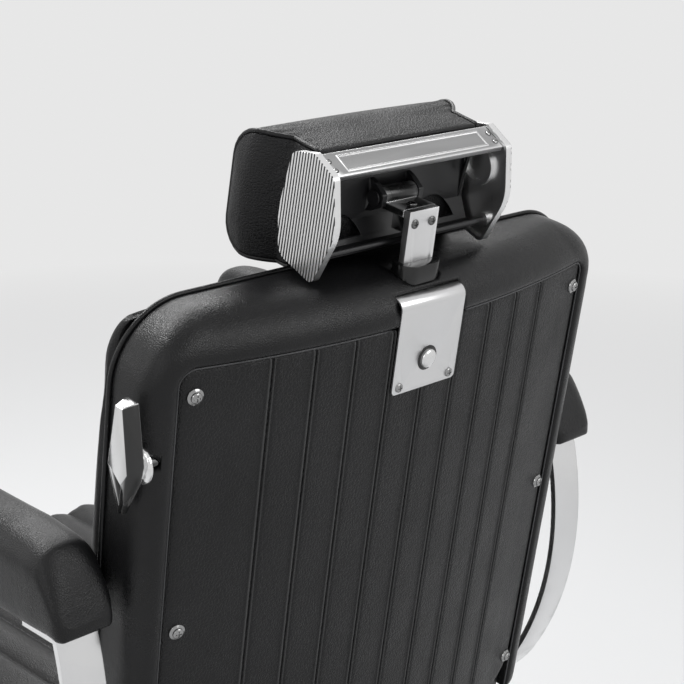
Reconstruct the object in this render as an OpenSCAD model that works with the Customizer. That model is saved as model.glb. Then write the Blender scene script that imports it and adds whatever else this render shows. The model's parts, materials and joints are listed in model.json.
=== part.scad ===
// Hydraulic barber chair. Millimetres, +Z up, origin on the floor under the
// middle of the column. The chair faces -Y and the sitter's left hand is at +X.

/* [Base] */
// Diameter of the floor plate
base_d = 640; // [600:5:700]
// Thickness of the floor plate
base_t = 12; // [10:1:18]
// Height of the rubber ring under the floor plate
ring_h = 8; // [6:1:14]
// Height of the domed cover above the floor plate
dome_h = 84; // [80:1:95]
// Thickness of the sheet metal covers
sheet_t = 2.5; // [2:0.5:4]
// Outside diameter of the fixed column cover
column_d = 138; // [132:1:146]
// Outside diameter of the hydraulic cylinder
cylinder_d = 110; // [100:1:120]
// Bore of the hydraulic cylinder
cylinder_bore = 84; // [76:1:90]
// Diameter of the ram
ram_d = 60; // [50:1:66]
// Height that the ram lifts the seat
lift_stroke = 160; // [100:5:160]
// Length of the pump lever outside its pivot
lever_l = 292; // [270:2:320]

/* [Seat] */
// Height of the seat's top above the floor with the ram down
seat_h = 560; // [550:1:600]
// Width of the seat cushion
seat_w = 508; // [480:2:516]
// Thickness of the seat cushion at its edge
cushion_h = 118; // [100:1:130]
// Distance from the column's middle to the front of the seat cushion
seat_front = 300; // [296:1:310]
// Thickness of the seat board
board_t = 12; // [9:1:15]
// Height of the seat frame's rails
frame_h = 40; // [36:1:46]
// Distance between the grooves of the seat, back and calf pads
channel_pitch = 40; // [36:1:44]
// Depth of the grooves of the seat, back and calf pads
channel_depth = 7; // [4:0.5:9]

/* [Arms] */
// Length of an arm pad
arm_l = 546; // [520:2:560]
// Width of an arm pad
arm_w = 58; // [52:1:60]
// Height of an arm pad
arm_h = 82; // [70:1:90]
// Height of the arm's top above the seat's top
arm_rise = 238; // [220:1:245]
// Width of the flat strap that carries an arm pad
strap_w = 38; // [34:1:42]
// Thickness of the strap
strap_t = 6; // [4:1:8]
// Radius of the strap's long side curves
strap_r = 330; // [320:1:345]
// Radius of the strap's lower bends
strap_bend_r = 160; // [150:1:166]

/* [Back] */
// Lean of the back from upright
back_lean = 9; // [6:0.5:12]
// Width of the back
back_w = 528; // [520:1:530]
// Width of the padded border beside the rear panel
border_w = 25.5; // [24.5:0.5:29]
// Height of the rear panel
panel_h = 469.5; // [460:0.5:474]
// Radius that the rear panel is bowed to
panel_bow_r = 1037; // [1000:1:1200]
// Thickness of the rear panel
panel_t = 6; // [5:0.5:7]
// Height of the padded roll above the rear panel
roll_h = 36; // [34:1:37]
// Depth of the padded border from its rear edge to its front edge
border_depth = 52; // [48:1:56]
// Angle that the back reclines through
recline = 50; // [30:1:50]
// Number of grooves in the rear panel
groove_n = 9; // [5:2:11]

/* [Headrest] */
// Length of the headrest cushion
pillow_l = 232; // [216:2:260]
// Distance between the inner faces of the side covers
cover_gap = 194; // [186:1:200]
// Width of the side covers' turned rim
cover_rim = 6; // [4:0.5:8]
// Distance between the ribs of the side covers
rib_pitch = 3.1; // [2.6:0.1:4]
// Width of the headrest stem
stem_w = 34; // [28:1:38]
// Thickness of the headrest stem
stem_t = 6; // [5:0.5:8]
// Height that the headrest stem can be raised
stem_travel = 100; // [60:5:110]
// Diameter of the release button
button_d = 22; // [18:1:24]

/* [Leg rest] */
// Length of the leg rest's side arms
leg_l = 290; // [270:2:300]
// Width of the calf pad
calf_w = 380; // [340:2:420]
// Depth of the footplate
foot_d = 230; // [200:2:250]
// Width of the footplate
foot_w = 400; // [340:2:440]

/* [Hidden] */

$fn = 72;
fit = 0.05;      // radial clearance of a running fit
seat_gap = 0.3;  // gap between a soft part and what carries it
play = 0.2;      // side clearance of moving flat parts
e = 0.01;        // overlap that makes a cut break through

// Heights up the column
plate_z = ring_h + base_t;
collar_h = 16;
cover_top_z = plate_z + dome_h + collar_h;
frame_z = seat_h - cushion_h - 6.7 - seat_gap - board_t - frame_h;
swivel_t = 12;
plate_top_z = frame_z;
bearing_z = frame_z - swivel_t;
flange_z = bearing_z - swivel_t;
ram_top_z = flange_z - swivel_t;
gland_top_z = ram_top_z - 25;
gland_t = 22;
cylinder_top_z = gland_top_z - gland_t;
flange_t = 10;
cylinder_floor_z = plate_z + flange_t;
piston_t = 28;
ram_bottom_z = cylinder_floor_z + 24;
column_r = column_d / 2;
shroud_in_r = column_r + 1.5;
shroud_low_z = cover_top_z + 33;
shroud_l = ram_top_z - shroud_low_z;
spigot_r = 25;
bearing_r = 95;

// Pump lever
lever_y = 150;
lever_z = plate_z + 42;
plunger_y = lever_y - 47;
plunger_r = 12;
lever_pin_r = 6;
lever_slope = 6.5;
lever_bar = 10;
hub_r = 14;
ear_gap = 28;
ear_t = 8;

// Seat frame
rail_x = 130;
rail_w = 30;
frame_front = seat_front - 54;
frame_back = 170;
guide_l = 25;
seat_back = 150;
front_bar_x = seat_w / 2 - 18.4;
frame_top_z = frame_z + frame_h;
board_top_z = frame_top_z + board_t;

// Recline pivot and the bar that links the back to the leg rest
panel_y = 330;
panel_rise = 340;
panel_z = seat_h + panel_rise;
pivot_y = panel_y - 125;
pivot_z = frame_z + 22;
pivot_r = 8;
eye_r = 20;
crank_h = 70;
bar_z = pivot_z - crank_h;
crank_x = 141;
crank_t = 8;
bar_x = 129;
bar_w = 10;
bar_h = 16;
crank_pin_r = 5;
crank_slot_r = 7;
crank_turn = recline / 2;
rear_pin_y = pivot_y + crank_h * tan(crank_turn);
leg_y = -(seat_front - 32);
leg_crank_h = 52;
leg_z = bar_z + leg_crank_h;
leg_turn = atan(crank_h * tan(crank_turn) / leg_crank_h);
front_pin_y = leg_y + leg_crank_h * tan(leg_turn);
lock_r = 20;
lock_bore_r = 15;
lock_rod_r = 6;
lock_back_y = 130;
lock_l = 190;

// Arms
arm_mid = -11;
arm_x = back_w / 2 + 7 + arm_w / 2;
arm_top_z = seat_h + arm_rise;
arm_z = arm_top_z - arm_h;
arm_board_t = 9;
strap_low_z = frame_z - strap_t / 2;
strap_turn = 32;
strap_step = strap_r - strap_bend_r;
strap_mid_z = strap_low_z + strap_bend_r + strap_step * sin(strap_turn);
strap_top_turn = asin((arm_z - strap_t / 2 - strap_mid_z) / strap_r);
strap_reach = arm_l / 2 - 9;
strap_side = strap_reach - strap_r;
strap_flat_y = strap_side + strap_step * cos(strap_turn);
strap_end_y = strap_side + strap_r * cos(strap_top_turn);
strap_screw_y = strap_end_y - 28;
strap_bolt_y = strap_flat_y - 28;

// Back, in its own leaning frame: x across, y backwards, z up the back
panel_w = back_w - 2 * border_w;
panel_top = 22.3;
panel_bottom = panel_top - panel_h;
screw_x = panel_w / 2 - 13.5;
screw_step = 208.4;
border_in = panel_w / 2 + seat_gap;
border_front = -28 - border_depth;
border_low = panel_bottom - 18;
roll_top = panel_top + seat_gap + roll_h;
pivot_n = (pivot_y - panel_y) * cos(back_lean) - (pivot_z - panel_z) * sin(back_lean);
pivot_up = (pivot_y - panel_y) * sin(back_lean) + (pivot_z - panel_z) * cos(back_lean);
back_arm_x = panel_w / 2 - 7;
back_arm_t = 8;
bracket_t = 8;
bracket_x = back_arm_x + back_arm_t / 2 + seat_gap + bracket_t / 2;
rib_t = 8;
back_board_t = 8;
board_n = border_front;
back_pad_t = 28;
groove_r = 1.5;

// Headrest stem and its guide
stem_n = -25;
stem_top = 112;
stem_low = -175;
guide_wall = 3;
guide_low = stem_low - 12;
button_z = -10;
plate_w = 75.5;
plate_t = 2;
plate_low = -36.6;
plate_bend = 38;
plate_bend_r = 9;
plate_screw_x = plate_w / 2 - 7.75;
plate_screw_z = plate_low + 6;
head_n = stem_n - 31.6;
head_z = stem_top + 2.5;
head_lean = 12;
head_pin_r = 5;
block_w = 37;
block_r = 8.5;
lug_t = 5;

// Lever on the back's side
release_z = -50;
release_x = back_w / 2;
release_r = 6;

// Leg rest, in its own leaning frame
leg_lean = 12;
leg_arm_x = 120;
leg_arm_t = 8;
leg_arm_w = 36;
calf_t = 44;
foot_out = 80;
foot_t = 8;
foot_eye = 8.5;

// ---------------------------------------------------------------- functions
// Depth of the bowed panel's rear face at x
function bow(x) = sqrt(panel_bow_r * panel_bow_r - x * x) - panel_bow_r;
rib_n = bow(back_arm_x) - panel_t * 1.03 - seat_gap;
guide_front = min(stem_n - stem_t / 2 - guide_wall - 1.35, rib_n + seat_gap);
release_n = bow(border_in) - 6.68;
function unit(v) = v / norm(v);
function short_turn(a) = a > 180 ? a - 360 : a < -180 ? a + 360 : a;
function corner_arc(p, before, after, r, n) =
    let (u = unit(before - p), v = unit(after - p))
    let (half = acos(max(-1, min(1, u * v))) / 2)
    let (c = p + unit(u + v) * r / sin(half))
    let (s = p + u * r / tan(half) - c, f = p + v * r / tan(half) - c)
    let (a = atan2(s.y, s.x), turn = short_turn(atan2(f.y, f.x) - a))
    [for (i = [0 : n]) c + r * [cos(a + turn * i / n), sin(a + turn * i / n)]];
// Outline p with each corner rounded to its own radius
function rounded(p, r, n = 6) = let (m = len(p)) [for (i = [0 : m - 1])
    each corner_arc(p[i], p[(i + m - 1) % m], p[(i + 1) % m], is_list(r) ? r[i] : r, n)];
function box_outline(w, h, r) =
    rounded([[-w / 2, -h / 2], [w / 2, -h / 2], [w / 2, h / 2], [-w / 2, h / 2]], r);
function mean(p) = [for (k = [0 : 2]) [for (q = p) q[k]] * [for (q = p) 1] / len(p)];

// ---------------------------------------------------------------- helpers
// A closed skin over rings of equal length, each ring turning about the way
// that the rings run
module skin(rings) {
    n = len(rings[0]);
    m = len(rings);
    points = [for (r = rings) each r, mean(rings[0]), mean(rings[m - 1])];
    sides = [for (i = [0 : m - 2], j = [0 : n - 1])
        let (k = (j + 1) % n, a = i * n, b = a + n)
        each [[a + j, b + j, b + k], [a + j, b + k, a + k]]];
    low = [for (j = [0 : n - 1]) [m * n, j, (j + 1) % n]];
    top = [for (j = [0 : n - 1]) [m * n + 1, (m - 1) * n + (j + 1) % n, (m - 1) * n + j]];
    polyhedron(points, concat(sides, low, top));
}
// Turns a drawing in the Y-Z plane so that it is extruded along +X
module along_x() rotate([90, 0, 90]) children();
module in_back() translate([0, panel_y, panel_z]) rotate([-back_lean, 0, 0]) children();
module in_head() in_back() translate([0, head_n, head_z])
    rotate([back_lean - head_lean, 0, 0]) children();
module in_leg() translate([0, leg_y, leg_z]) rotate([-leg_lean, 0, 0]) children();
module rod_x(r, x0, x1) translate([x0, 0, 0]) rotate([0, 90, 0]) cylinder(r = r, h = x1 - x0);
module both() {
    children();
    mirror([1, 0, 0]) children();
}
module box(low, high) translate(low) cube(high - low);
module ring(r_out, r_in, h) difference() {
    cylinder(r = r_out, h = h);
    translate([0, 0, -1]) cylinder(r = r_in, h = h + 2);
}
// A raised screw head with a cross recess, its seat at z = 0
module screw(head_r, head_h, shank_r, shank_l) {
    difference() {
        rotate_extrude() polygon([[0, 0], [head_r, 0], for (a = [0 : 15 : 90])
            [head_r * cos(a), head_h * 0.25 + head_h * 0.75 * sin(a)]]);
        for (a = [0, 90]) rotate([0, 0, a])
            translate([-head_r * 0.6, -head_r * 0.12, head_h * 0.45])
            cube([head_r * 1.2, head_r * 0.24, head_h]);
    }
    translate([0, 0, -shank_l]) cylinder(r = shank_r, h = shank_l);
}

// ---------------------------------------------------------------- base
module floor_ring() color("#202020") rotate_extrude()
    polygon([[base_d / 2 - 16, 0], [base_d / 2 - 2, 0], [base_d / 2, 3],
        [base_d / 2, ring_h], [base_d / 2 - 16, ring_h]]);

module base_plate() color("silver") translate([0, 0, ring_h]) rotate_extrude()
    polygon([[0, 0], [base_d / 2, 0], [base_d / 2, base_t - 4],
        [base_d / 2 - 1.2, base_t - 1.2], [base_d / 2 - 4, base_t], [0, base_t]]);

dome_in = column_r + fit;
dome_out = base_d / 2 - 8;
function dome_z(t) = 10 + (dome_h - 10) * pow(sin(90 * t), 0.8);
function dome_r(t) = dome_out - (dome_out - dome_in - 6) * pow(1 - cos(90 * t), 0.72);
module base_cover() color("gainsboro") difference() {
    steps = 14;
    translate([0, 0, plate_z]) rotate_extrude() polygon([
        [dome_out, 0],
        for (i = [0 : steps]) [dome_r(i / steps), dome_z(i / steps)],
        [dome_in + 6, dome_h + collar_h - 2], [dome_in + 4, dome_h + collar_h],
        [dome_in, dome_h + collar_h], [dome_in, dome_h - sheet_t],
        for (i = [steps : -1 : 0]) let (t = i / steps)
            [max(dome_in, dome_r(t) - sheet_t), dome_z(t) - sheet_t],
        [dome_out - sheet_t, 0]]);
    box([-22, lever_y + 24, plate_z - 1], [22, dome_out + 20, plate_z + dome_h]);
}

module column_cover() color("gainsboro")
    translate([0, 0, cylinder_floor_z])
    ring(column_r, column_r - 2, gland_top_z - cylinder_floor_z);

module pump_cylinder() color("dimgray") difference() {
    union() {
        translate([0, 0, plate_z]) cylinder(r = column_r + 3, h = flange_t);
        translate([0, 0, cylinder_floor_z - e])
            cylinder(r = cylinder_d / 2, h = cylinder_top_z - cylinder_floor_z + e);
    }
    translate([0, 0, cylinder_floor_z])
        cylinder(r = cylinder_bore / 2, h = cylinder_top_z);
}

module cylinder_gland() color("darkgray")
    translate([0, 0, cylinder_top_z]) ring(column_r - 2 - fit, ram_d / 2 + fit, gland_t);

module pump_housing() color("dimgray") {
    difference() {
        box([-26, column_r + 5, plate_z], [26, lever_y - 22, plate_z + 30]);
        translate([0, plunger_y, plate_z + 6]) cylinder(r = plunger_r + fit, h = 40);
    }
    both() difference() {
        union() {
            box([ear_gap / 2, lever_y - 22 - e, plate_z], [ear_gap / 2 + ear_t, lever_y + 16, plate_z + 30]);
            translate([0, lever_y, lever_z]) rod_x(13, ear_gap / 2, ear_gap / 2 + ear_t);
            box([ear_gap / 2, lever_y - 13, plate_z], [ear_gap / 2 + ear_t, lever_y + 13, lever_z]);
        }
        translate([0, lever_y, lever_z]) rod_x(lever_pin_r + fit, 0, 60);
    }
}

module pump_plunger() color("silver") difference() {
    translate([0, plunger_y, plate_z + 14]) cylinder(r = plunger_r, h = 46);
    box([-lever_bar / 2 - 0.5, plunger_y - 20, lever_z - 8],
        [lever_bar / 2 + 0.5, plunger_y + 20, lever_z + 8]);
}

module lever_pin() color("silver") translate([0, lever_y, lever_z]) {
    rod_x(lever_pin_r, -ear_gap / 2 - ear_t, ear_gap / 2 + ear_t);
    both() rod_x(lever_pin_r + 3, ear_gap / 2 + ear_t, ear_gap / 2 + ear_t + 3);
}

module pump_lever() color("gainsboro") translate([0, lever_y, lever_z]) difference() {
    union() {
        rod_x(hub_r, -ear_gap / 2 + play, ear_gap / 2 - play);
        box([-lever_bar / 2, -47 - plunger_r + 2, -lever_bar / 2], [lever_bar / 2, 0, lever_bar / 2]);
        rotate([lever_slope, 0, 0]) {
            rotate([-90, 0, 0]) cylinder(r = 9, h = lever_l);
            box([-9, 0, -9], [9, 60, 9]);
        }
    }
    rod_x(lever_pin_r + fit, -40, 40);
}

module pedal_pad() color("#202020") translate([0, lever_y, lever_z])
    rotate([lever_slope, 0, 0]) difference() {
        translate([0, lever_l - 70, 0]) rotate([-90, 0, 0]) rotate_extrude()
            polygon([[0, 0], [13, 0], [15, 3], for (k = [0 : 5]) each
                [[15, 6 + k * 11], [13.4, 8 + k * 11], [15, 10 + k * 11]], [13, 76], [0, 78]]);
        translate([0, lever_l - 80, 0]) rotate([-90, 0, 0]) cylinder(r = 9 + fit, h = 80 + fit);
    }

// ---------------------------------------------------------------- lift
module ram() color("silver") {
    translate([0, 0, ram_bottom_z]) cylinder(r = ram_d / 2, h = ram_top_z - ram_bottom_z + e);
    translate([0, 0, ram_bottom_z]) cylinder(r = cylinder_bore / 2 - fit, h = piston_t);
    translate([0, 0, ram_top_z]) cylinder(r = bearing_r, h = swivel_t);
    translate([0, 0, flange_z - e]) cylinder(r = spigot_r, h = frame_z + 14 - flange_z);
}

module lift_shroud() color("gainsboro") {
    translate([0, 0, ram_top_z - shroud_l]) ring(shroud_in_r + 2, shroud_in_r, shroud_l);
    translate([0, 0, ram_top_z - 3]) ring(shroud_in_r + e, ram_d / 2 + fit, 3);
    translate([0, 0, ram_top_z - shroud_l]) ring(shroud_in_r + 3.5, shroud_in_r, 6);
}

module swivel_bearing() color("darkgray") translate([0, 0, flange_z]) difference() {
    ring(bearing_r, spigot_r + 10, swivel_t);
    translate([0, 0, swivel_t / 2]) rotate_extrude()
        polygon([[bearing_r - 2, 0], [bearing_r + 2, -3], [bearing_r + 2, 3]]);
}

module swivel_plate() color("dimgray") difference() {
    union() {
        translate([0, 0, bearing_z]) linear_extrude(swivel_t) polygon(box_outline(280, 280, 24));
        translate([0, 0, bearing_z]) cylinder(r = spigot_r + 15, h = swivel_t + 14);
    }
    translate([0, 0, bearing_z - 1]) cylinder(r = spigot_r + fit, h = 60);
}

// ---------------------------------------------------------------- seat
module seat_frame() color("#303030") {
    strap_bars = [arm_mid - strap_bolt_y, arm_mid + strap_bolt_y];
    difference() {
        union() {
            both() box([rail_x - rail_w / 2, -frame_front, frame_z],
                [rail_x + rail_w / 2, frame_back, frame_top_z]);
            box([-front_bar_x, -frame_front, frame_z + 8],
                [front_bar_x, -frame_front + 30, frame_top_z]);
            box([-bracket_x + bracket_t / 2, 140, frame_z],
                [bracket_x - bracket_t / 2, 170, frame_top_z]);
            for (y = strap_bars) box([-arm_x - strap_w / 2 + 2, y - 15, frame_z],
                [arm_x + strap_w / 2 - 2, y + 15, frame_z + 20]);
            both() difference() {
                union() {
                    box([152, leg_y - 14, leg_z], [160, -frame_front + e, frame_top_z]);
                    translate([0, leg_y, leg_z]) rod_x(14, 152, 160);
                }
                translate([0, leg_y, leg_z]) rod_x(pivot_r + fit, 140, 170);
            }
        }
        translate([0, 0, frame_z - 1]) cylinder(r = spigot_r + 16, h = frame_h);
        for (y = strap_bars) both() translate([arm_x, y, frame_z - 1]) cylinder(r = 5 + fit, h = 40);
    }
}

module link_guides() color("dimgray")
    for (y = [-185, 100]) difference() {
        box([bar_x - 14, y, bar_z - 14], [bar_x + 14, y + guide_l, y > 0 ? bearing_z : frame_z]);
        box([bar_x - bar_w / 2 - play, y - 1, bar_z - bar_h / 2 - play],
            [bar_x + bar_w / 2 + play, y + guide_l + 1, bar_z + bar_h / 2 + play]);
    }

module link_bar() color("silver") {
    box([bar_x - bar_w / 2, front_pin_y - 9, bar_z - bar_h / 2],
        [bar_x + bar_w / 2, rear_pin_y + 9, bar_z + bar_h / 2]);
    for (y = [front_pin_y, rear_pin_y]) translate([0, y, bar_z])
        rod_x(crank_pin_r, bar_x + bar_w / 2 - e, crank_x + crank_t / 2 + 3);
}

module recline_cylinder() color("dimgray") {
    translate([-bar_x, lock_back_y - lock_l, bar_z]) rotate([-90, 0, 0]) difference() {
        cylinder(r = lock_r, h = lock_l);
        translate([0, 0, 8]) cylinder(r = lock_bore_r, h = lock_l - 16);
        translate([0, 0, lock_l - 20]) cylinder(r = lock_rod_r + fit, h = 30);
    }
    for (y = [lock_back_y - lock_l + 10, lock_back_y - 30]) difference() {
        box([-bar_x - 12, y, bar_z], [-bar_x + 12, y + 20, bearing_z]);
        translate([-bar_x, y - 1, bar_z]) rotate([-90, 0, 0]) cylinder(r = lock_r - 1, h = 22);
    }
}

module recline_rod() color("silver") {
    translate([-bar_x, rear_pin_y, bar_z]) rotate([90, 0, 0]) {
        cylinder(r = lock_rod_r, h = rear_pin_y - lock_back_y + 50);
        translate([0, 0, rear_pin_y - lock_back_y + 40]) cylinder(r = lock_bore_r - fit, h = 14);
        translate([0, 0, -9]) cylinder(r = 9 - 2, h = 18);
    }
    translate([0, rear_pin_y, bar_z])
        rod_x(crank_pin_r, -crank_x - crank_t / 2 - 3, -bar_x);
}

module seat_board() color("burlywood") box([-seat_w / 2 + 4, -seat_front + 8, frame_top_z],
    [seat_w / 2 - 4, seat_back - 2, board_top_z]);

module seat_apron() color("gainsboro") {
    w = seat_w / 2 - 4 + 0.1;
    y_mid = (seat_back - seat_front) / 2 + 3;
    d = (seat_back + seat_front) / 2 - 5 + 0.1;
    difference() {
        translate([0, y_mid, frame_z + 22]) linear_extrude(frame_h - 22 + board_t)
            polygon(box_outline(2 * w + 4, 2 * d + 4, 4));
        box([-w, y_mid - d, frame_z], [w, y_mid + d, board_top_z + 5]);
        box([-w - 9, frame_back - 42, frame_z], [w + 9, seat_back + 20, board_top_z + 5]);
    }
}

// A ring of a channelled pad: flat underside at 0, crowned channelled top.
// w and h are its width and height here, swell is how far the sides stand out.
function pad_ring(w, h, swell, groove, half) = let (r = min(26, h * 0.35)) concat(
    [[-w / 2 + 6, 0], [-w / 2 - swell * 0.2, h * 0.12], [-w / 2 - swell, h * 0.42]],
    [for (a = [0 : 30 : 60]) [-w / 2 + r - r * cos(a) - swell * cos(a) * 0.6, h - r + r * sin(a) - 1]],
    [for (i = [-half : half]) each [
        [(i - 0.16) * channel_pitch, h], [i * channel_pitch, h - groove],
        [(i + 0.16) * channel_pitch, h], if (i < half) [(i + 0.5) * channel_pitch, h + groove * 0.35]]],
    [for (a = [60 : -30 : 0]) [w / 2 - r + r * cos(a) + swell * cos(a) * 0.6, h - r + r * sin(a) - 1]],
    [[w / 2 + swell, h * 0.42], [w / 2 + swell * 0.2, h * 0.12], [w / 2 - 6, 0]]);
// Shares of the length at which a pad's rings lie, with how full each is
pad_rings = [[0, 0.62, 0.94], [0.012, 0.86, 0.98], [0.05, 0.97, 0.995], [0.2, 1, 1], [0.5, 1.02, 1],
    [0.8, 1, 1], [0.95, 0.97, 0.995], [0.988, 0.86, 0.98], [1, 0.62, 0.94]];

module seat_cushion() color("#181818") {
    l = seat_back + seat_front;
    translate([0, 0, board_top_z + seat_gap]) skin([for (s = pad_rings)
        [for (p = pad_ring((seat_w - 8) * s[2], cushion_h * s[1], 3, channel_depth, 5))
            [p.x, -seat_front + l * s[0], p.y]]]);
}

module arm_strap(x) {
    module arc(r, from, to, y, z, g) translate([x - strap_w / 2 - g, y, z]) along_x()
        rotate([0, 0, from]) rotate_extrude(angle = to - from)
        translate([r - strap_t / 2 - g, 0]) square([strap_t + 2 * g, strap_w + 2 * g]);
    module half() {
        arc(strap_r, -strap_turn - 0.2, strap_top_turn, strap_side, strap_mid_z, 0);
        arc(strap_bend_r, -90.4, -strap_turn + 0.2, strap_flat_y, strap_low_z + strap_bend_r, 0.03);
        box([x - strap_w / 2, -1, frame_z - strap_t],
            [x + strap_w / 2, strap_flat_y + 0.5, frame_z]);
        box([x - strap_w / 2, strap_end_y - 44, arm_z - strap_t],
            [x + strap_w / 2, strap_end_y + strap_t / 2, arm_z]);
    }
    difference() {
        translate([0, arm_mid, 0]) {
            half();
            mirror([0, 1, 0]) half();
        }
        for (y = [-1, 1] * strap_bolt_y) translate([x, arm_mid + y, frame_z - 20]) cylinder(r = 5 + fit, h = 30);
        for (y = [-1, 1] * strap_screw_y) translate([x, arm_mid + y, arm_z - 20])
            cylinder(r = 3 + fit, h = 40);
    }
}
module arm_strap_left() color("silver") arm_strap(arm_x);
module arm_strap_right() color("silver") arm_strap(-arm_x);

module arm_board(x) difference() {
    translate([x, arm_mid, arm_z]) linear_extrude(arm_board_t)
        polygon(box_outline(arm_w - 18, arm_l - 40, 12));
    for (y = [-1, 1] * strap_screw_y) translate([x, arm_mid + y, arm_z - 1])
        cylinder(r = 2.5 + fit, h = arm_board_t + 2);
}
module arm_board_left() color("burlywood") arm_board(arm_x);
module arm_board_right() color("burlywood") arm_board(-arm_x);

// Outline of an arm pad: w wide, h high, with round shoulders, lowest at 0
function arm_ring(w, h) = let (r = min(w, h) * 0.42, q = min(w, h) * 0.2) concat(
    [for (a = [-90 : 30 : 0]) [w / 2 - q + q * cos(a), q + q * sin(a)]],
    [for (a = [0 : 22.5 : 90]) [w / 2 - r + r * cos(a), h - r + r * sin(a)]],
    [for (a = [90 : 22.5 : 180]) [-w / 2 + r + r * cos(a), h - r + r * sin(a)]],
    [for (a = [180 : 30 : 270]) [-w / 2 + q + q * cos(a), q + q * sin(a)]]);
// Along the pad: place from front to rear as a share, width, height and lift
arm_rings = [[0, 0.55, 0.62, 0.16], [0.012, 0.84, 0.86, 0.05], [0.04, 0.97, 0.97, 0.01], [0.1, 1, 1, 0],
    [0.5, 1, 0.985, 0], [0.86, 1, 0.955, 0], [0.93, 0.99, 0.9, 0], [0.952, 0.97, 0.85, 0],
    [0.965, 0.96, 0.73, 0], [0.976, 0.95, 0.58, 0], [0.987, 0.92, 0.38, 0.005], [0.996, 0.82, 0.2, 0.02],
    [1, 0.6, 0.09, 0.05]];
module arm_pad(x) difference() {
    translate([x, arm_mid - arm_l / 2, arm_z + seat_gap])
        skin([for (s = arm_rings) [for (p = arm_ring(arm_w * s[1], (arm_h - seat_gap) * s[2]))
            [-p.x, arm_l * s[0], p.y + arm_h * s[3]]]]);
    translate([x, arm_mid, arm_z - 5]) linear_extrude(5 + arm_board_t + seat_gap)
        polygon(box_outline(arm_w - 18 + 2 * seat_gap, arm_l - 40 + 2 * seat_gap, 12));
}
module arm_pad_left() color("#181818") arm_pad(arm_x);
module arm_pad_right() color("#181818") arm_pad(-arm_x);

module arm_screws() color("silver") both() {
    for (y = [-1, 1] * strap_bolt_y) translate([arm_x, arm_mid + y, frame_z - strap_t]) rotate([180, 0, 0])
        screw(9, 5, 5, strap_t + 18);
    for (y = [-1, 1] * strap_screw_y) translate([arm_x, arm_mid + y, arm_z - strap_t])
        rotate([180, 0, 0]) screw(5.5, 3, 2.5, strap_t + arm_board_t - 2);
}

module hinge_bracket(x) translate([x - bracket_t / 2, 0, 0]) difference() {
    union() {
        along_x() linear_extrude(bracket_t) polygon([[132, frame_z], [pivot_y - 4, frame_z],
            [pivot_y + 12, pivot_z - 16], [pivot_y + 4, pivot_z + 19.6],
            [176, frame_top_z], [132, frame_top_z]]);
        translate([0, pivot_y, pivot_z]) rod_x(eye_r, 0, bracket_t);
    }
    translate([0, pivot_y, pivot_z]) rod_x(pivot_r + fit, -1, bracket_t + 1);
}
module hinge_bracket_left() color("#303030") hinge_bracket(bracket_x);
module hinge_bracket_right() color("#303030") hinge_bracket(-bracket_x);

module hinge_pins() color("silver") both() translate([0, pivot_y, pivot_z]) {
    rod_x(pivot_r, back_arm_x - back_arm_t / 2 - 4, bracket_x + bracket_t / 2);
    rod_x(pivot_r + 4, bracket_x + bracket_t / 2, bracket_x + bracket_t / 2 + 5);
}

// ---------------------------------------------------------------- back
// A crank plate in the Y-Z plane, hanging from its pivot, with a pin slot
module crank(h, turn) {
    pin = [h * tan(turn), -h];
    slot = h / cos(turn) - h + 7;
    along = unit(pin);
    difference() {
        union() {
            rod_x(18, 0, crank_t);
            along_x() linear_extrude(crank_t) polygon([
                [-16, -6], pin + [-12, -6], pin + [10, -14], pin + [14, 2], [17, 4]]);
            translate([0, pin.x, pin.y]) rod_x(14, 0, crank_t);
        }
        along_x() translate([0, 0, -1]) linear_extrude(crank_t + 2)
            translate(pin) rotate([0, 0, atan2(along.y, along.x)])
            polygon(box_outline(slot + 2 * crank_slot_r, 2 * crank_slot_r, crank_slot_r - 0.1));
    }
}

module back_frame() color("#303030") difference() {
    side_n = [rib_n - rib_t - 24, rib_n - 2];
    side_x = [back_arm_x - back_arm_t / 2, back_arm_x + back_arm_t / 2];
    union() {
        in_back() {
            both() {
                box([side_x[0], side_n[0], border_low + 20], [side_x[1], side_n[1], 10]);
                box([side_x[0], pivot_n - 14, pivot_up], [side_x[1], pivot_n + 10, border_low + 40]);
                translate([0, pivot_n, pivot_up]) rod_x(eye_r - 2, side_x[0], side_x[1]);
            }
            for (k = [0 : 2]) box([-back_arm_x, rib_n - rib_t, -k * screw_step - 13],
                [back_arm_x, rib_n, -k * screw_step + 13]);
        }
        translate([0, pivot_y, pivot_z]) {
            rod_x(12, -back_arm_x, back_arm_x);
            translate([crank_x - crank_t / 2, 0, 0]) crank(crank_h, crank_turn);
            translate([-crank_x - crank_t / 2, 0, 0]) crank(crank_h, crank_turn);
        }
    }
    in_back() for (k = [0 : 2]) both() rotate_bow(screw_x) translate([0, -30, -k * screw_step])
        rotate([-90, 0, 0]) cylinder(r = 2, h = 40);
    translate([0, pivot_y, pivot_z]) both() rod_x(pivot_r + fit, side_x[0] - 5, side_x[1] + 40);
    if (guide_front < rib_n) in_back() box([-stem_w / 2 - guide_wall - 0.3, guide_front - seat_gap, -14],
        [stem_w / 2 + guide_wall + 0.3, rib_n + 1, 14]);
}

module back_board() color("burlywood") in_back() difference() {
    translate([0, board_n + back_board_t, 0]) rotate([90, 0, 0]) linear_extrude(back_board_t)
        polygon(rounded([[-border_in + 4, border_low + 6], [border_in - 4, border_low + 6],
            [border_in - 4, panel_top - 1], [-border_in + 4, panel_top - 1]], 14));
}

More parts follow.
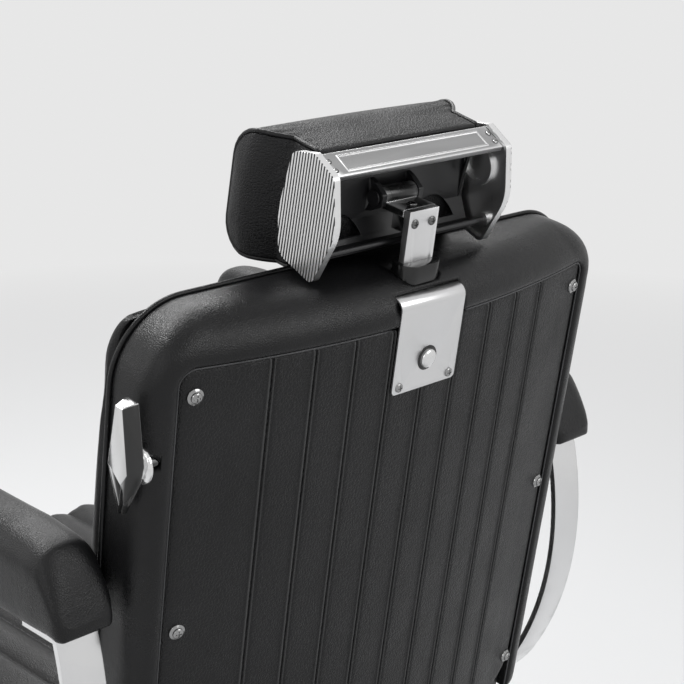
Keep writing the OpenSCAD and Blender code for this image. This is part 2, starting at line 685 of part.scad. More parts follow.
module back_cushion() color("#181818") in_back() {
    low = border_low + 4;
    high = roll_top - 8;
    rings = [[0, 0.5, 0.95], [0.012, 0.82, 0.985], [0.05, 0.96, 1], [0.25, 1.1, 1], [0.55, 1, 1],
        [0.85, 0.86, 1], [0.95, 0.66, 0.985], [0.985, 0.5, 0.93], [1, 0.3, 0.86]];
    skin([for (s = rings)
        [for (p = pad_ring((back_w - 8) * s[2], back_pad_t * s[1], 1.5, channel_depth * s[1] * 0.7, 5))
            [p.x, border_front - seat_gap - p.y, low + (high - low) * s[0]]]]);
}

// The padded border runs up one side, over the top and down the other.
// Each station has a point on the inner and on the outer outline.
border_corner = 62;
panel_corner = 14;
function border_leg(z) = [[border_in, z], [back_w / 2, z]];
function border_turn(a) = [
    [border_in - panel_corner + panel_corner * cos(a), panel_top + seat_gap - panel_corner * (1 - sin(a))],
    [back_w / 2 - border_corner + border_corner * cos(a), roll_top - border_corner * (1 - sin(a))]];
function border_top(k) = [[k * (border_in - panel_corner), panel_top + seat_gap],
    [k * (back_w / 2 - border_corner), roll_top]];
function flip(s) = [for (p = s) [-p.x, p.y]];
border_half = concat([for (z = [0, 4, 14, 60, 220]) border_leg(border_low + z)],
    [for (a = [0 : 12.857 : 90]) border_turn(a)], [for (k = [6 / 7 : -1 / 7 : 0.1]) border_top(k)]);
function border_ring(s, full) = let (rear = bow(s[0].x) + 1.5, front = border_front)
    let (round_n = min(34, norm(s[1] - s[0]) * 0.92), end = (1 - full) * 9)
    [for (q = concat([[0, rear - 3]],
        [for (a = [90 : -15 : 0]) [0.04 + 0.96 * cos(a), rear - end - round_n * (1 - sin(a))]],
        [[1, front + 9 + end], [0.93, front + 2.5 + end], [0.78, front + end], [0, front + end]]))
        let (p = s[0] + (s[1] - s[0]) * q[0] * full) [p.x, q[1], p.y]];
function collar_outline(g) = [[-22 - g, -13 - g], [22 + g, -13 - g], [22 + g, 13 + g], [-22 - g, 13 + g]];
module back_border() color("#181818") in_back() difference() {
    n = len(border_half);
    stations = concat([for (s = border_half) flip(s)], [border_top(0)],
        [for (i = [n - 1 : -1 : 0]) border_half[i]]);
    m = len(stations);
    skin([for (i = [0 : m - 1]) border_ring(stations[i], i == 0 || i == m - 1 ? 0.7 : 1)]);
    box([-plate_w / 2 - 0.5, plate_t + seat_gap - plate_bend_r - 2, 10], [plate_w / 2 + 0.5, 10, 90]);
    box([-plate_w / 2 - 0.5, stem_n + 7, plate_bend + 6], [plate_w / 2 + 0.5, -5, plate_bend + 10]);
    box([-stem_w / 2 - guide_wall - 0.5, guide_front - 1, 10],
        [stem_w / 2 + guide_wall + 0.5, -5, plate_bend + 8]);
    translate([0, stem_n + 1, plate_bend + 5]) linear_extrude(60)
        polygon(rounded(collar_outline(0.4), 12.9, 10));
    translate([0, release_n, release_z]) rod_x(release_r + 0.5, border_in - 5, release_x + 5);
}

module panel_holes() {
    for (k = [0 : 2]) both() rotate_bow(screw_x) translate([0, -20, -k * screw_step])
        rotate([-90, 0, 0]) cylinder(r = 3, h = 40);
}
// Places children on the bowed face at x, with +y square to the face
module rotate_bow(x) translate([0, -panel_bow_r, 0]) rotate([0, 0, -asin(x / panel_bow_r)])
    translate([0, panel_bow_r, 0]) children();

module rear_panel() color("#181818") in_back() difference() {
    intersection() {
        translate([0, -panel_bow_r, panel_bottom]) difference() {
            cylinder(r = panel_bow_r, h = panel_h, $fn = 720);
            translate([0, 0, -1]) cylinder(r = panel_bow_r - panel_t, h = panel_h + 2, $fn = 720);
        }
        translate([0, 30, 0]) rotate([90, 0, 0]) linear_extrude(90)
            polygon(rounded([[-panel_w / 2, panel_bottom], [panel_w / 2, panel_bottom],
                [panel_w / 2, panel_top], [-panel_w / 2, panel_top]], [55, 55, 14, 14], 8));
    }
    for (i = [-(groove_n - 1) / 2 : (groove_n - 1) / 2]) rotate_bow(i * channel_pitch)
        translate([0, groove_r * 0.4, panel_bottom - 1]) cylinder(r = groove_r, h = panel_h + 2, $fn = 16);
    panel_holes();
    translate([0, 5, button_z]) rotate([90, 0, 0]) cylinder(r = button_d / 2 + 1, h = 20);
    for (x = [-1, 1] * plate_screw_x) translate([x, 5, plate_screw_z]) rotate([90, 0, 0])
        cylinder(r = 2 + fit, h = 20);
}

module panel_screws() color("silver") in_back() {
    for (k = [0 : 2]) both() rotate_bow(screw_x) translate([0, 2.2, -k * screw_step])
        rotate([-90, 0, 0]) screw(4.6, 2.6, 1.95, 15);
    for (x = [-1, 1] * plate_screw_x) translate([x, plate_t + seat_gap, plate_screw_z])
        rotate([-90, 0, 0]) screw(4, 2, 1.9, 9);
}

module panel_washers() color("silver") in_back() for (k = [0 : 2]) both() rotate_bow(screw_x)
    translate([0, 0.1, -k * screw_step]) rotate([-90, 0, 0]) rotate_extrude()
    polygon([[2.2, 0], [7, 0], [6.8, 0.9], [5.4, 1.8], [4.8, 2.1], [2.2, 2.1]]);

module stem_plate() color("silver") in_back() difference() {
    union() {
        translate([0, seat_gap, 0]) rotate([90, 0, 0]) mirror([0, 0, 1]) linear_extrude(plate_t)
            polygon(rounded([[-plate_w / 2, plate_low], [plate_w / 2, plate_low],
                [plate_w / 2, plate_bend], [-plate_w / 2, plate_bend]], [4, 4, 0.5, 0.5]));
        translate([-plate_w / 2, plate_t + seat_gap - plate_bend_r, plate_bend]) along_x()
            rotate_extrude(angle = 90) translate([plate_bend_r - plate_t, 0]) square([plate_t, plate_w]);
        box([-plate_w / 2, stem_n + stem_t / 2 + 4.6, plate_bend + plate_bend_r - plate_t],
            [plate_w / 2, plate_t + seat_gap - plate_bend_r + e, plate_bend + plate_bend_r]);
    }
    translate([0, 10, button_z]) rotate([90, 0, 0]) cylinder(r = button_d / 2 + fit, h = 20);
    for (x = [-1, 1] * plate_screw_x) translate([x, 10, plate_screw_z]) rotate([90, 0, 0])
        cylinder(r = 2 + fit, h = 20);
}

module stem_guide() color("#303030") in_back() difference() {
    box([-stem_w / 2 - guide_wall, guide_front, guide_low],
        [stem_w / 2 + guide_wall, stem_n + stem_t / 2 + 4, plate_bend + 6]);
    box([-stem_w / 2 - 0.1, stem_n - stem_t / 2 - 0.1, guide_low - 1],
        [stem_w / 2 + 0.1, stem_n + stem_t / 2 + 0.1, plate_bend + 60]);
    translate([0, 0, button_z]) rotate([90, 0, 0]) cylinder(r = 5.5, h = -stem_n + 1);
}

module stem_collar() color("#181818") in_back() difference() {
    translate([0, stem_n + 1, plate_bend + 6]) linear_extrude(24)
        polygon(rounded(collar_outline(0), 12.5, 10));
    box([-stem_w / 2 - 0.1, stem_n - stem_t / 2 - 0.1, 0],
        [stem_w / 2 + 0.1, stem_n + stem_t / 2 + 0.1, 100]);
    box([-40, stem_n + stem_t / 2 + 4.6, 30], [40, 20, plate_bend + plate_bend_r + 0.1]);
}

module release_button() color("silver") in_back() translate([0, 0, button_z])
    rotate([-90, 0, 0]) {
        r = button_d / 2;
        rotate_extrude() polygon([[0, 0], [r, 0], [r, 2.3], [r - 0.5, 2.6], [r - 2.8, 2.6],
            for (a = [0 : 15 : 90]) [(r - 2.8) * cos(a), 4.2 + 3 * sin(a)]]);
        translate([0, 0, -17]) cylinder(r = 5, h = 17 + e);
    }

module lever_rosette() color("silver") in_back() translate([release_x + seat_gap, release_n, release_z])
    rotate([0, 90, 0]) rotate_extrude() polygon([[release_r + fit, 0], [15.5, 0], [15.5, 1.5],
        [14.4, 3], [11.4, 4.6], [10.6, 5.4], [9.8, 7], [release_r + fit, 7]]);

module recline_lever() color("silver") in_back() translate([0, release_n, release_z]) {
    x0 = release_x + seat_gap + 7 + play;
    face = [[-7, 52], [2, 52], [9, 12], [12, 2], [5, -9], [-12, 3]];
    foot = [[-10, 54], [3, 54], [14, 6], [12, -8], [-3, -41], [-9, -43], [-16, -4]];
    hull() {
        translate([x0, 0, 0]) along_x() linear_extrude(4) polygon(foot);
        translate([x0 + 13, 0, 0]) along_x() linear_extrude(1) polygon(face);
    }
    rod_x(release_r, border_in + 1.2, x0 + 1);
}

// ---------------------------------------------------------------- headrest
module headrest_stem() color("silver") in_back() difference() {
    box([-stem_w / 2, stem_n - stem_t / 2, stem_low], [stem_w / 2, stem_n + stem_t / 2, stem_top]);
    for (x = [-10, 10]) translate([x, stem_n - 10, stem_top - 11]) rotate([-90, 0, 0])
        cylinder(r = 2 + fit, h = 20);
}

module hinge_block() color("silver") in_back() difference() {
    union() {
        box([-block_w / 2, head_n, head_z - block_r],
            [block_w / 2, stem_n + stem_t / 2 - 1, stem_top]);
        box([-stem_w / 2 + 2, head_n + 14, stem_top - 20],
            [stem_w / 2 - 2, stem_n - stem_t / 2, stem_top]);
        translate([0, head_n, head_z]) rod_x(block_r, -block_w / 2, block_w / 2);
    }
    box([-block_w, stem_n - stem_t / 2, stem_low], [block_w, stem_n + stem_t, stem_top]);
    translate([0, head_n, head_z]) rod_x(head_pin_r + fit, -40, 40);
    translate([0, head_n + 20, stem_top - 13]) cylinder(r = 2 + fit, h = 60);
    for (x = [-10, 10]) translate([x, stem_n - 16, stem_top - 11]) rotate([-90, 0, 0])
        cylinder(r = 2 + fit, h = 20);
}

module headrest_pin() color("silver") in_back() translate([0, head_n, head_z]) {
    rod_x(head_pin_r, -block_w / 2 - lug_t - 2, block_w / 2 + lug_t + 2);
    both() rod_x(head_pin_r + 1.5, block_w / 2 + lug_t + 1, block_w / 2 + lug_t + 2.5);
}

module stem_screws() color("silver") in_back() {
    for (x = [-10, 10]) translate([x, stem_n + stem_t / 2, stem_top - 11]) rotate([-90, 0, 0])
        screw(4, 2, 2, stem_t + 10);
    translate([0, head_n + 20, stem_top]) screw(4.4, 2.2, 2, 12);
}

// Outline of the headrest's side covers, as [y, z] in the headrest's frame
cover_outline = rounded([[-19.5, 44.5], [4, 50], [28.5, 38.6], [38.5, -6], [21, -52.5], [-20, -42.5],
    [-26.8, -8]], [9, 4, 7, 40, 6, 12, 70], 5);
bar_low = [25, 37.2];
bar_high = [2, 47.6];
boss_z = 11;
cover_t = cover_rim + 1;
rod_at = [18, -32];
rod_r = 2.5;
pan_arch_r = 27;

module side_cover() color("gainsboro") in_head() {
    x_in = cover_gap / 2;
    difference() {
        translate([x_in, 0, 0]) along_x() linear_extrude(cover_t) polygon(cover_outline);
        difference() {
            translate([x_in - 1, 0, 0]) along_x()
                linear_extrude(cover_t - 2) polygon([for (p = cover_outline) p * 0.94]);
            translate([0, 0, boss_z]) rod_x(17.5, x_in, x_in + cover_t);
            translate([0, rod_at.x, rod_at.y]) rod_x(rod_r + 3.5, x_in, x_in + cover_t);
        }
        translate([0, 0, boss_z]) rod_x(12.5, x_in - 1, x_in + cover_t - 3);
        for (k = [-9 : 12]) translate([x_in + cover_t + 0.2, k * rib_pitch + rib_pitch / 2, 0])
            rotate([0, 0, 45]) cube([1.5, 1.5, 200], center = true);
    }
}
module side_cover_left() side_cover();
module side_cover_right() mirror([1, 0, 0]) side_cover();

module headrest_bar() color("silver") in_head() {
    along = unit(bar_low - bar_high);
    up = [-along.y, along.x];
    w = norm(bar_low - bar_high);
    half = cover_gap / 2 - 0.1;
    translate([-half, 0, 0]) along_x() linear_extrude(2 * half) polygon([
        bar_high, bar_low, bar_low - up * 5, bar_low - up * 5 - along * 1.5,
        bar_low - up * 2 - along * 2, bar_high - up * 2 + along * 2,
        bar_high - up * 5 + along * 1.5, bar_high - up * 5]);
    translate([0, bar_high.x, bar_high.y]) rotate([atan2(along.y, along.x), 0, 0])
        difference() {
            box([-half + 15, 4, -e], [half - 15, w - 4, 0.9]);
            box([-half + 16.5, 5.5, -1], [half - 16.5, w - 5.5, 2]);
        }
}

module headrest_pan() color("#202020") in_head() {
    half = cover_gap / 2 - 0.1;
    difference() {
        translate([-half, 0, 0]) along_x() linear_extrude(2 * half) polygon(rounded([
            [-12, 38], [-9.2, 38], [-9.2, -20], [0, -37], [12, -37],
            [12, -40], [-1, -40], [-12, -22]], 0.8, 2));
        both() intersection() {
            translate([56, 20, -40]) rotate([90, 0, 0]) cylinder(r = pan_arch_r, h = 40);
            box([20, -20, -33], [92, 20, 0]);
        }
    }
    both() difference() {
        translate([block_w / 2 + play, 0, 0]) along_x() linear_extrude(lug_t)
            polygon(rounded([[-11, 15], [-2, 12], [9, 5], [9, -5], [-2, -12], [-11, -15]], 2));
        rod_x(head_pin_r + fit, 0, 60);
    }
}

module lower_rod() color("silver") in_head() translate([0, rod_at.x, rod_at.y])
    rod_x(rod_r, -cover_gap / 2 + 0.1, cover_gap / 2 - 0.1);

// Outlines of the headrest cushion's body and of its rounded ends, as [y, z].
// The body wraps over the pan's top edge and under its lower lip.
pillow_front = -77;
pillow_top = 52;
pillow_low = -57.5;
pan_gap = 0.3;
pillow_body = rounded([[-12 - pan_gap, -41], [-12 - pan_gap, 38.6], [-1.2, 39.2], [-1.5, 48.6],
    [pillow_front, pillow_top], [pillow_front, pillow_low], [-17, pillow_low + 1], [-3.5, -41.3]],
    [0.5, 0.5, 1, 4, 27, 27, 14, 2.5], 4);
pillow_end = rounded([[-31, -14], [-30.8, 4], [-32, 20], [-35.5, pillow_top - 1.5],
    [pillow_front, pillow_top - 1], [pillow_front, pillow_low + 0.5], [-33, pillow_low + 1], [-31.6, -32]],
    [4, 4, 4, 15, 25, 25, 14, 4], 4);
pillow_mid = [-55, -3];
function pillow_ring(p, full) = [for (q = p) pillow_mid + (q - pillow_mid) * full];
module headrest_cushion() color("#181818") in_head() {
    half = pillow_l / 2;
    inner = cover_gap / 2 - 0.02;
    left = [[-half, pillow_end, 0.86], [-half + 1.5, pillow_end, 0.93], [-half + 5, pillow_end, 0.985],
        [-inner - 6, pillow_end, 1], [-inner, pillow_end, 1], [-inner + 0.07, pillow_body, 1],
        [-inner * 0.5, pillow_body, 1]];
    steps = concat(left, [[0, pillow_body, 1]],
        [for (i = [len(left) - 1 : -1 : 0]) [-left[i][0], left[i][1], left[i][2]]]);
    skin([for (s = steps) [for (p = pillow_ring(s[1], s[2])) [s[0], p.x, p.y]]]);
}

// ---------------------------------------------------------------- leg rest
module leg_axle() color("silver") translate([0, leg_y, leg_z]) {
    rod_x(pivot_r, -160, 160);
    both() rod_x(pivot_r + 3, 160, 164);
}

module leg_frame() color("gainsboro") difference() {
    arm_low = leg_arm_x - leg_arm_t / 2;
    arm_high = leg_arm_x + leg_arm_t / 2;
    union() {
        in_leg() {
            rod_x(13, -152 + seat_gap, 152 - seat_gap);
            both() box([arm_low, -leg_arm_w / 2, -leg_l], [arm_high, leg_arm_w / 2, 0]);
            both() box([arm_low, -foot_out - 8, -leg_l], [arm_high, leg_arm_w / 2, -leg_l + 30]);
            both() translate([0, -foot_out, -leg_l + 15]) rod_x(18, arm_low, arm_high);
            both() translate([0, -foot_out, -leg_l + 15]) rotate([leg_lean, 0, 0])
                translate([0, -13, -foot_eye - 4.05]) rod_x(4, leg_arm_x - 18, leg_arm_x);
            box([-calf_w / 2 + 12, -leg_arm_w / 2 - 3, -leg_l + 46],
                [calf_w / 2 - 12, -leg_arm_w / 2, -44]);
        }
        translate([crank_x - crank_t / 2, leg_y, leg_z]) crank(leg_crank_h, leg_turn);
    }
    in_leg() rod_x(pivot_r + fit, -200, 200);
    in_leg() translate([0, -foot_out, -leg_l + 15]) rod_x(pivot_r - 2 + fit, -200, 200);
}

module calf_pad() color("#181818") in_leg() {
    l = leg_l - 84;
    skin([for (s = pad_rings)
        [for (p = pad_ring((calf_w - 6) * s[2], calf_t * s[1], 2, channel_depth * 0.8, 3))
            [p.x, -leg_arm_w / 2 - 3 - seat_gap - p.y, -leg_l + 44 + l * s[0]]]]);
}

module footplate() color("gainsboro") in_leg() translate([0, -foot_out, -leg_l + 15])
    rotate([leg_lean, 0, 0]) difference() {
        union() {
            rod_x(pivot_r - 2, -leg_arm_x - 12, leg_arm_x + 12);
            both() box([leg_arm_x - leg_arm_t / 2 - 14, -30, -foot_eye],
                [leg_arm_x - leg_arm_t / 2 - play - 0.3, 0, foot_eye]);
            both() rod_x(foot_eye, leg_arm_x - leg_arm_t / 2 - 14,
                leg_arm_x - leg_arm_t / 2 - play - 0.3);
            translate([0, -20 - foot_d / 2, -foot_t]) linear_extrude(foot_t)
                polygon(box_outline(foot_w, foot_d, 30));
            for (k = [0 : 6]) translate([0, -48 - k * 28, 0]) rotate([0, 90, 0])
                cylinder(r = 3.5, h = foot_w - 60, center = true);
        }
        translate([0, -20 - foot_d / 2, -foot_t - 1]) linear_extrude(foot_t - 2)
            polygon(box_outline(foot_w - 12, foot_d - 12, 24));
    }

floor_ring();
base_plate();
base_cover();
column_cover();
pump_cylinder();
cylinder_gland();
pump_housing();
pump_plunger();
pump_lever();
lever_pin();
pedal_pad();
ram();
lift_shroud();
swivel_bearing();
swivel_plate();
seat_frame();
link_guides();
recline_cylinder();
recline_rod();
link_bar();
seat_board();
seat_cushion();
seat_apron();
arm_strap_left();
arm_strap_right();
arm_board_left();
arm_board_right();
arm_pad_left();
arm_pad_right();
arm_screws();
hinge_bracket_left();
hinge_bracket_right();
hinge_pins();
back_frame();
back_board();
back_cushion();
back_border();
rear_panel();
panel_screws();
panel_washers();
stem_plate();
stem_guide();
stem_collar();
release_button();
lever_rosette();
recline_lever();
headrest_stem();
hinge_block();
headrest_pin();
stem_screws();
headrest_pan();
headrest_cushion();
side_cover_left();
side_cover_right();
headrest_bar();
lower_rod();
leg_axle();
leg_frame();
calf_pad();
footplate();
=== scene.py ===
"""Looks of the hydraulic barber chair: its upholstery, finishes, light and camera."""

import json
import math

import bmesh
import bpy
import numpy as np
from mathutils import Matrix, Vector

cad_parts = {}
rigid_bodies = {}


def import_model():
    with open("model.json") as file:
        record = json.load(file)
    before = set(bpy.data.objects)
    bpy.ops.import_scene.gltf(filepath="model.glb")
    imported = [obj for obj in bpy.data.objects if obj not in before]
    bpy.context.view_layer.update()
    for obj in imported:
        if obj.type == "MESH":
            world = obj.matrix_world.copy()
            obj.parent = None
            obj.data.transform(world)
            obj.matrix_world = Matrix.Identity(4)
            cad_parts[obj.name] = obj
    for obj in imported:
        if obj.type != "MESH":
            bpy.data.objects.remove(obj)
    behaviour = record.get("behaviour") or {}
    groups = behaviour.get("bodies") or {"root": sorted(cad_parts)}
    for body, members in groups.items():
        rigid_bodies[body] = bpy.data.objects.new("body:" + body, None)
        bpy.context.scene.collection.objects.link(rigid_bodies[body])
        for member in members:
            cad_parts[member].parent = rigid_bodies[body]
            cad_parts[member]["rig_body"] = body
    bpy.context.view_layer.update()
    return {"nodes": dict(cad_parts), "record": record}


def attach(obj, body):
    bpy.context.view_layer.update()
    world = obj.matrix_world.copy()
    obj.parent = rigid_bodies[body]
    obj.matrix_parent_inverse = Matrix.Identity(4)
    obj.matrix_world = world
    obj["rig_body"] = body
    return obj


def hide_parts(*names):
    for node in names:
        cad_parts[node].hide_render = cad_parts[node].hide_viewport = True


MM = 0.001
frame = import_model()
nodes = frame["nodes"]
slot_of = {p["node"]: p["material_slot"] for p in frame["record"]["subparts"]}

# Sizes and places in millimetres and leans in degrees, as in the part. In the frames of the back, the
# headrest and the leg rest, x runs to the sitter's left, n to the rear and z up along the piece.
PANEL_Y, PANEL_Z = 330, 900
BACK_LEAN, HEAD_LEAN, LEG_LEAN = 9, 12, 12
BACK_HALF, PANEL_HALF = 264, 238.5
PANEL_TOP, PANEL_LOW, PANEL_DEEP = 22.3, -447.2, 5.9
BOW_R = 1037
ROLL_TOP = 58.6
BORDER_FRONT, BORDER_LOW = -80, -465.2
CORNER_IN, CORNER_OUT, CORNER_FOOT = 14, 62, 55
PITCH = 40  # of the panel's and the pads' grooves
PANEL_GROOVES, SEAT_GROOVES, CALF_GROOVES = 4, 5, 3  # on each side of the middle one
HEAD_N, HEAD_UP = -56.6, 114.5
LEG_Y, LEG_Z = -268, 387
ARM_X, ARM_MID, ARM_Z = 300, -11, 716
ARM_L, ARM_W, ARM_H = 546, 58, 82
COVER_GAP, RIB_PITCH, RIB_FOOT = 194, 3.1, 103.1  # the ribs' foot from the chair's middle
PLATE_HALF, BUTTON_Z = 37.75, -10
GUIDE_HALF, COLLAR_N = 20.6, -24
LEVER_N, LEVER_Z = -34.5, -50
SEAT_W, SEAT_L, SEAT_H, SEAT_FRONT, SEAT_LOW = 500, 450, 117.5, -300, 435.3
CALF_W, CALF_L, CALF_H, CALF_LOW, CALF_N = 374, 206, 43.5, -246, -21.3
BACK_PAD_W, BACK_PAD_H = 518, 28
BAR_FRONT, BAR_REAR = (2, 47.6), (25, 37.2)  # the bar's two long edges, as n and z

# Sizes that only the visual model has, in millimetres
RIDGE, LIP = 2.5, -1.8  # places of a groove's two edges, from its middle
EDGE_FALL, EDGE_DROP = 3.5, 2.2  # how far from its edge the panel's leather turns down, and how deep
ROLL_CREST = 2.2  # the roll's rear stands this much behind the panel
BUTTON_HOLE, DOME_R = 12.2, 8.15
COLLAR_HOLE = (22.5, 13.5)
LEVER_HOLE = 6.6
PILLOW_HALF = 116
PILLOW_SEAM = PILLOW_HALF - 5.4
GATHER_X, GATHER_REACH, GATHER_HIGH = 104, 9, 0.28  # gathers of the pillow's cover beside its seams
PIPING_R, PILLOW_PIPING_R, WELT_R = 2.3, 2.1, 0.9
BAR_SCREW_X, BAR_SCREW_FRONT, BAR_SCREW_REAR, BAR_SCREW_R = 93, 8.4, 18.2, 1.9

SHARP = 32  # edges steeper than this stay crisp, in degrees
PUFF_FRAMES = 14
FLOOR_TONE = 0.8
CAMERA_PLACE, CAMERA_LENS = (0.89513, 1.15409, 1.28144), 81.06
CAMERA_YAW, CAMERA_PITCH = 44.07, 17.303


def local_frame(place, lean, parent=Matrix.Identity(4)):
    """A frame in metres, at a place in millimetres in its parent and leaning back from it."""
    return parent @ Matrix.Translation(Vector(place) * MM) @ Matrix.Rotation(math.radians(-lean), 4, "X")


UPRIGHT = Matrix.Identity(4)
IN_BACK = local_frame((0, PANEL_Y, PANEL_Z), BACK_LEAN)
IN_HEAD = local_frame((0, HEAD_N, HEAD_UP), HEAD_LEAN - BACK_LEAN, IN_BACK)
IN_LEG = local_frame((0, LEG_Y, LEG_Z), LEG_LEAN)


# ------------------------------------------------------------------ materials
class Nodes:
    """A node tree, with short calls for the nodes that it needs."""

    def __init__(self, tree):
        self.tree = tree

    def fill(self, socket, value):
        """Links a socket to another one, or gives it a value."""
        if isinstance(value, bpy.types.NodeSocket):
            self.tree.links.new(value, socket)
        else:
            socket.default_value = value

    def node(self, kind, inputs=None, **settings):
        made = self.tree.nodes.new(kind)
        for key, value in settings.items():
            setattr(made, key, value)
        for key, value in (inputs or {}).items():
            self.fill(made.inputs[key], value)
        return made

    def math(self, kind, a, b=0):
        return self.node("ShaderNodeMath", {0: a, 1: b}, operation=kind).outputs["Value"]

    def vectors(self, kind, a, b=(0, 0, 0), out="Value"):
        return self.node("ShaderNodeVectorMath", {0: a, 1: b}, operation=kind).outputs[out]

    def seen(self):
        """1 for what the camera sees, straight or in a shiny piece, and 0 for the light on the pieces."""
        path = self.node("ShaderNodeLightPath").outputs
        shiny = self.math("MAXIMUM", path["Is Glossy Ray"], path["Is Transmission Ray"])
        return self.math("MAXIMUM", path["Is Camera Ray"], shiny)

    def surface(self, output, share, first, second):
        """Gives an output node the first shader, turning into the second as the share goes to 1."""
        both = self.node("ShaderNodeMixShader", {0: share, 1: first, 2: second})
        self.tree.links.new(both.outputs["Shader"], self.tree.nodes[output].inputs["Surface"])


class Shader(Nodes):
    """A material and its nodes."""

    def __init__(self, name):
        self.material = bpy.data.materials.new(name)
        self.material.use_nodes = True
        super().__init__(self.material.node_tree)
        self.main = self.tree.nodes["Principled BSDF"]
        self.place = self.node("ShaderNodeTexCoord").outputs["Object"]

    def set(self, **values):
        for key, value in values.items():
            self.fill(self.main.inputs[key.replace("_", " ")], value)

    def x(self):
        return self.node("ShaderNodeSeparateXYZ", {"Vector": self.place}).outputs["X"]

    def local(self, matrix, axis):
        """How far along one axis of a local frame the place lies, in metres."""
        off = self.vectors("SUBTRACT", self.place, matrix.translation, "Vector")
        return self.vectors("DOT_PRODUCT", off, matrix.col[axis].to_3d())

    def stretched(self, scale):
        return self.node("ShaderNodeMapping", {"Vector": self.place, "Scale": scale}).outputs["Vector"]

    def noise(self, scale, detail=3, vector=None, rough=0.55):
        made = self.node("ShaderNodeTexNoise", {"Vector": vector or self.place, "Scale": scale,
                                                "Detail": detail, "Roughness": rough})
        return made.outputs["Fac"]

    def cells(self, scale, feature="DISTANCE_TO_EDGE", vector=None):
        made = self.node("ShaderNodeTexVoronoi", {"Vector": vector or self.place, "Scale": scale},
                         feature=feature)
        return made.outputs["Distance"]

    def ramp(self, value, low, high, out_low=0.0, out_high=1.0):
        made = self.node("ShaderNodeMapRange", {"Value": value, "From Min": low, "From Max": high,
                                                "To Min": out_low, "To Max": out_high})
        return made.outputs["Result"]

    def blend(self, a, share, b, other):
        """Two values, each times its share, added up."""
        return self.math("ADD", self.math("MULTIPLY", a, share), self.math("MULTIPLY", b, other))

    def mix(self, factor, under, over):
        """One colour, turning into another as the factor goes to 1."""
        a, b = ((*c, 1) if isinstance(c, tuple) else c for c in (under, over))
        made = self.node("ShaderNodeMix", {"Factor": factor, "A": a, "B": b}, data_type="RGBA")
        return made.outputs["Result"]

    def to_nearest(self, value, pitch):
        """Share of a pitch between a value and the pattern's nearest line, from -0.5 to 0.5."""
        share = self.math("FRACT", self.math("ADD", self.math("DIVIDE", value, pitch), 0.5))
        return self.math("SUBTRACT", share, 0.5)

    def bump(self, height, strength, distance, under=None):
        inputs = {"Height": height, "Strength": strength, "Distance": distance}
        if under:
            inputs["Normal"] = under
        return self.node("ShaderNodeBump", inputs).outputs["Normal"]

    def soft_edges(self, radius):
        return self.node("ShaderNodeBevel", {"Radius": radius}, samples=4).outputs["Normal"]

    def edge_highlight_mask(self, round_edge, most):
        """Up to most along the piece's edges, where the rounded normal leaves the flat one, else 0: where a
        highlight is painted.
        """
        flat = self.node("ShaderNodeNewGeometry").outputs["True Normal"]
        return self.ramp(self.vectors("DOT_PRODUCT", round_edge, flat), 0.985, 0.9, 0.0, most)


def grey(tone):
    """A colour without hue."""
    return (tone, tone, tone)


def pleat_highlight(s):
    """1 along the two edges of each of the rear panel's grooves, where a highlight is painted, else 0."""
    x = s.x()
    off = s.math("MULTIPLY", s.to_nearest(x, PITCH * MM), PITCH)
    edges = []
    for at, wide, full in ((RIDGE, 1.3, 1.0), (LIP, 0.9, 0.7)):
        away = s.math("ABSOLUTE", s.math("SUBTRACT", off, at))
        edges.append(s.ramp(away, 0.3, wide, full, 0.0))
    outer = PANEL_GROOVES * PITCH * MM
    inside = s.ramp(s.math("ABSOLUTE", x), outer + 0.016, outer + 0.018, 1.0, 0.0)
    return s.math("MULTIPLY", s.math("MAXIMUM", *edges), inside)


def leather(name, grain, depth, rough, tint=(0.006, 0.006, 0.0064), pleats=False):
    """Black upholstery leather: pebbled grain, fine creases and a slight polish; with pleats, a highlight
    painted along the grooves' edges.
    """
    s = Shader(name)
    warp = s.node("ShaderNodeTexNoise", {"Vector": s.place, "Scale": grain * 0.35, "Detail": 2})
    shift = s.node("ShaderNodeVectorMath", {0: warp.outputs["Color"], "Scale": 0.9 / grain},
                   operation="SCALE")
    bent = s.vectors("ADD", s.place, shift.outputs["Vector"], "Vector")
    pebble = s.ramp(s.cells(grain, vector=bent), 0.0, 0.22)
    fine = s.cells(grain * 2.6, vector=bent)
    dents = s.bump(s.noise(14, 4), 0.25, 0.004)
    creases = s.bump(s.noise(grain * 0.12, 6, bent, 0.62), 0.35, 0.0011, dents)
    wear = s.noise(9, 5)
    color = s.mix(s.ramp(wear, 0.35, 0.75), tint, tuple(c * 1.9 for c in tint))
    # painted highlight: the panel's groove edges lightened, more in some places than others
    if pleats:
        painted_highlight = s.math("MULTIPLY", pleat_highlight(s), s.ramp(wear, 0.2, 0.7, 0.6, 1.0))
        color = s.mix(painted_highlight, color, grey(0.07))
    gloss = s.blend(s.noise(22, 5), 1.0, pebble, -0.25)
    s.set(Base_Color=color, Roughness=s.ramp(gloss, 0.2, 0.7, rough - 0.07, rough + 0.09),
          Specular_IOR_Level=0.28, Normal=s.bump(s.blend(pebble, 0.6, fine, 0.35), depth, 0.0007, creases))
    return s.material


def brushed(name, tone, rough, along, edge=0.0006, edge_highlight=0.0):
    """Ground steel whose fine scratches run along one axis; where asked, a highlight is painted along its
    edges.
    """
    s = Shader(name)
    scale = [900, 900, 900]
    scale["xyz".index(along)] = 9
    line = s.noise(1.0, 3, s.stretched(scale), 0.7)
    cloud = s.noise(16, 4)
    round_edge = s.soft_edges(edge)
    tint = s.mix(cloud, grey(tone * 0.9), (tone, tone, tone * 1.01))
    if edge_highlight:
        # painted highlight: the edges lightened to near white
        tint = s.mix(s.edge_highlight_mask(round_edge, edge_highlight), tint, grey(0.95))
    s.set(Base_Color=tint, Metallic=1.0, Anisotropic=0.4,
          Roughness=s.ramp(s.blend(line, 0.5, cloud, 0.5), 0.25, 0.75, rough - 0.04, rough + 0.05),
          Normal=s.bump(line, 0.06, 0.00006, round_edge))
    return s.material


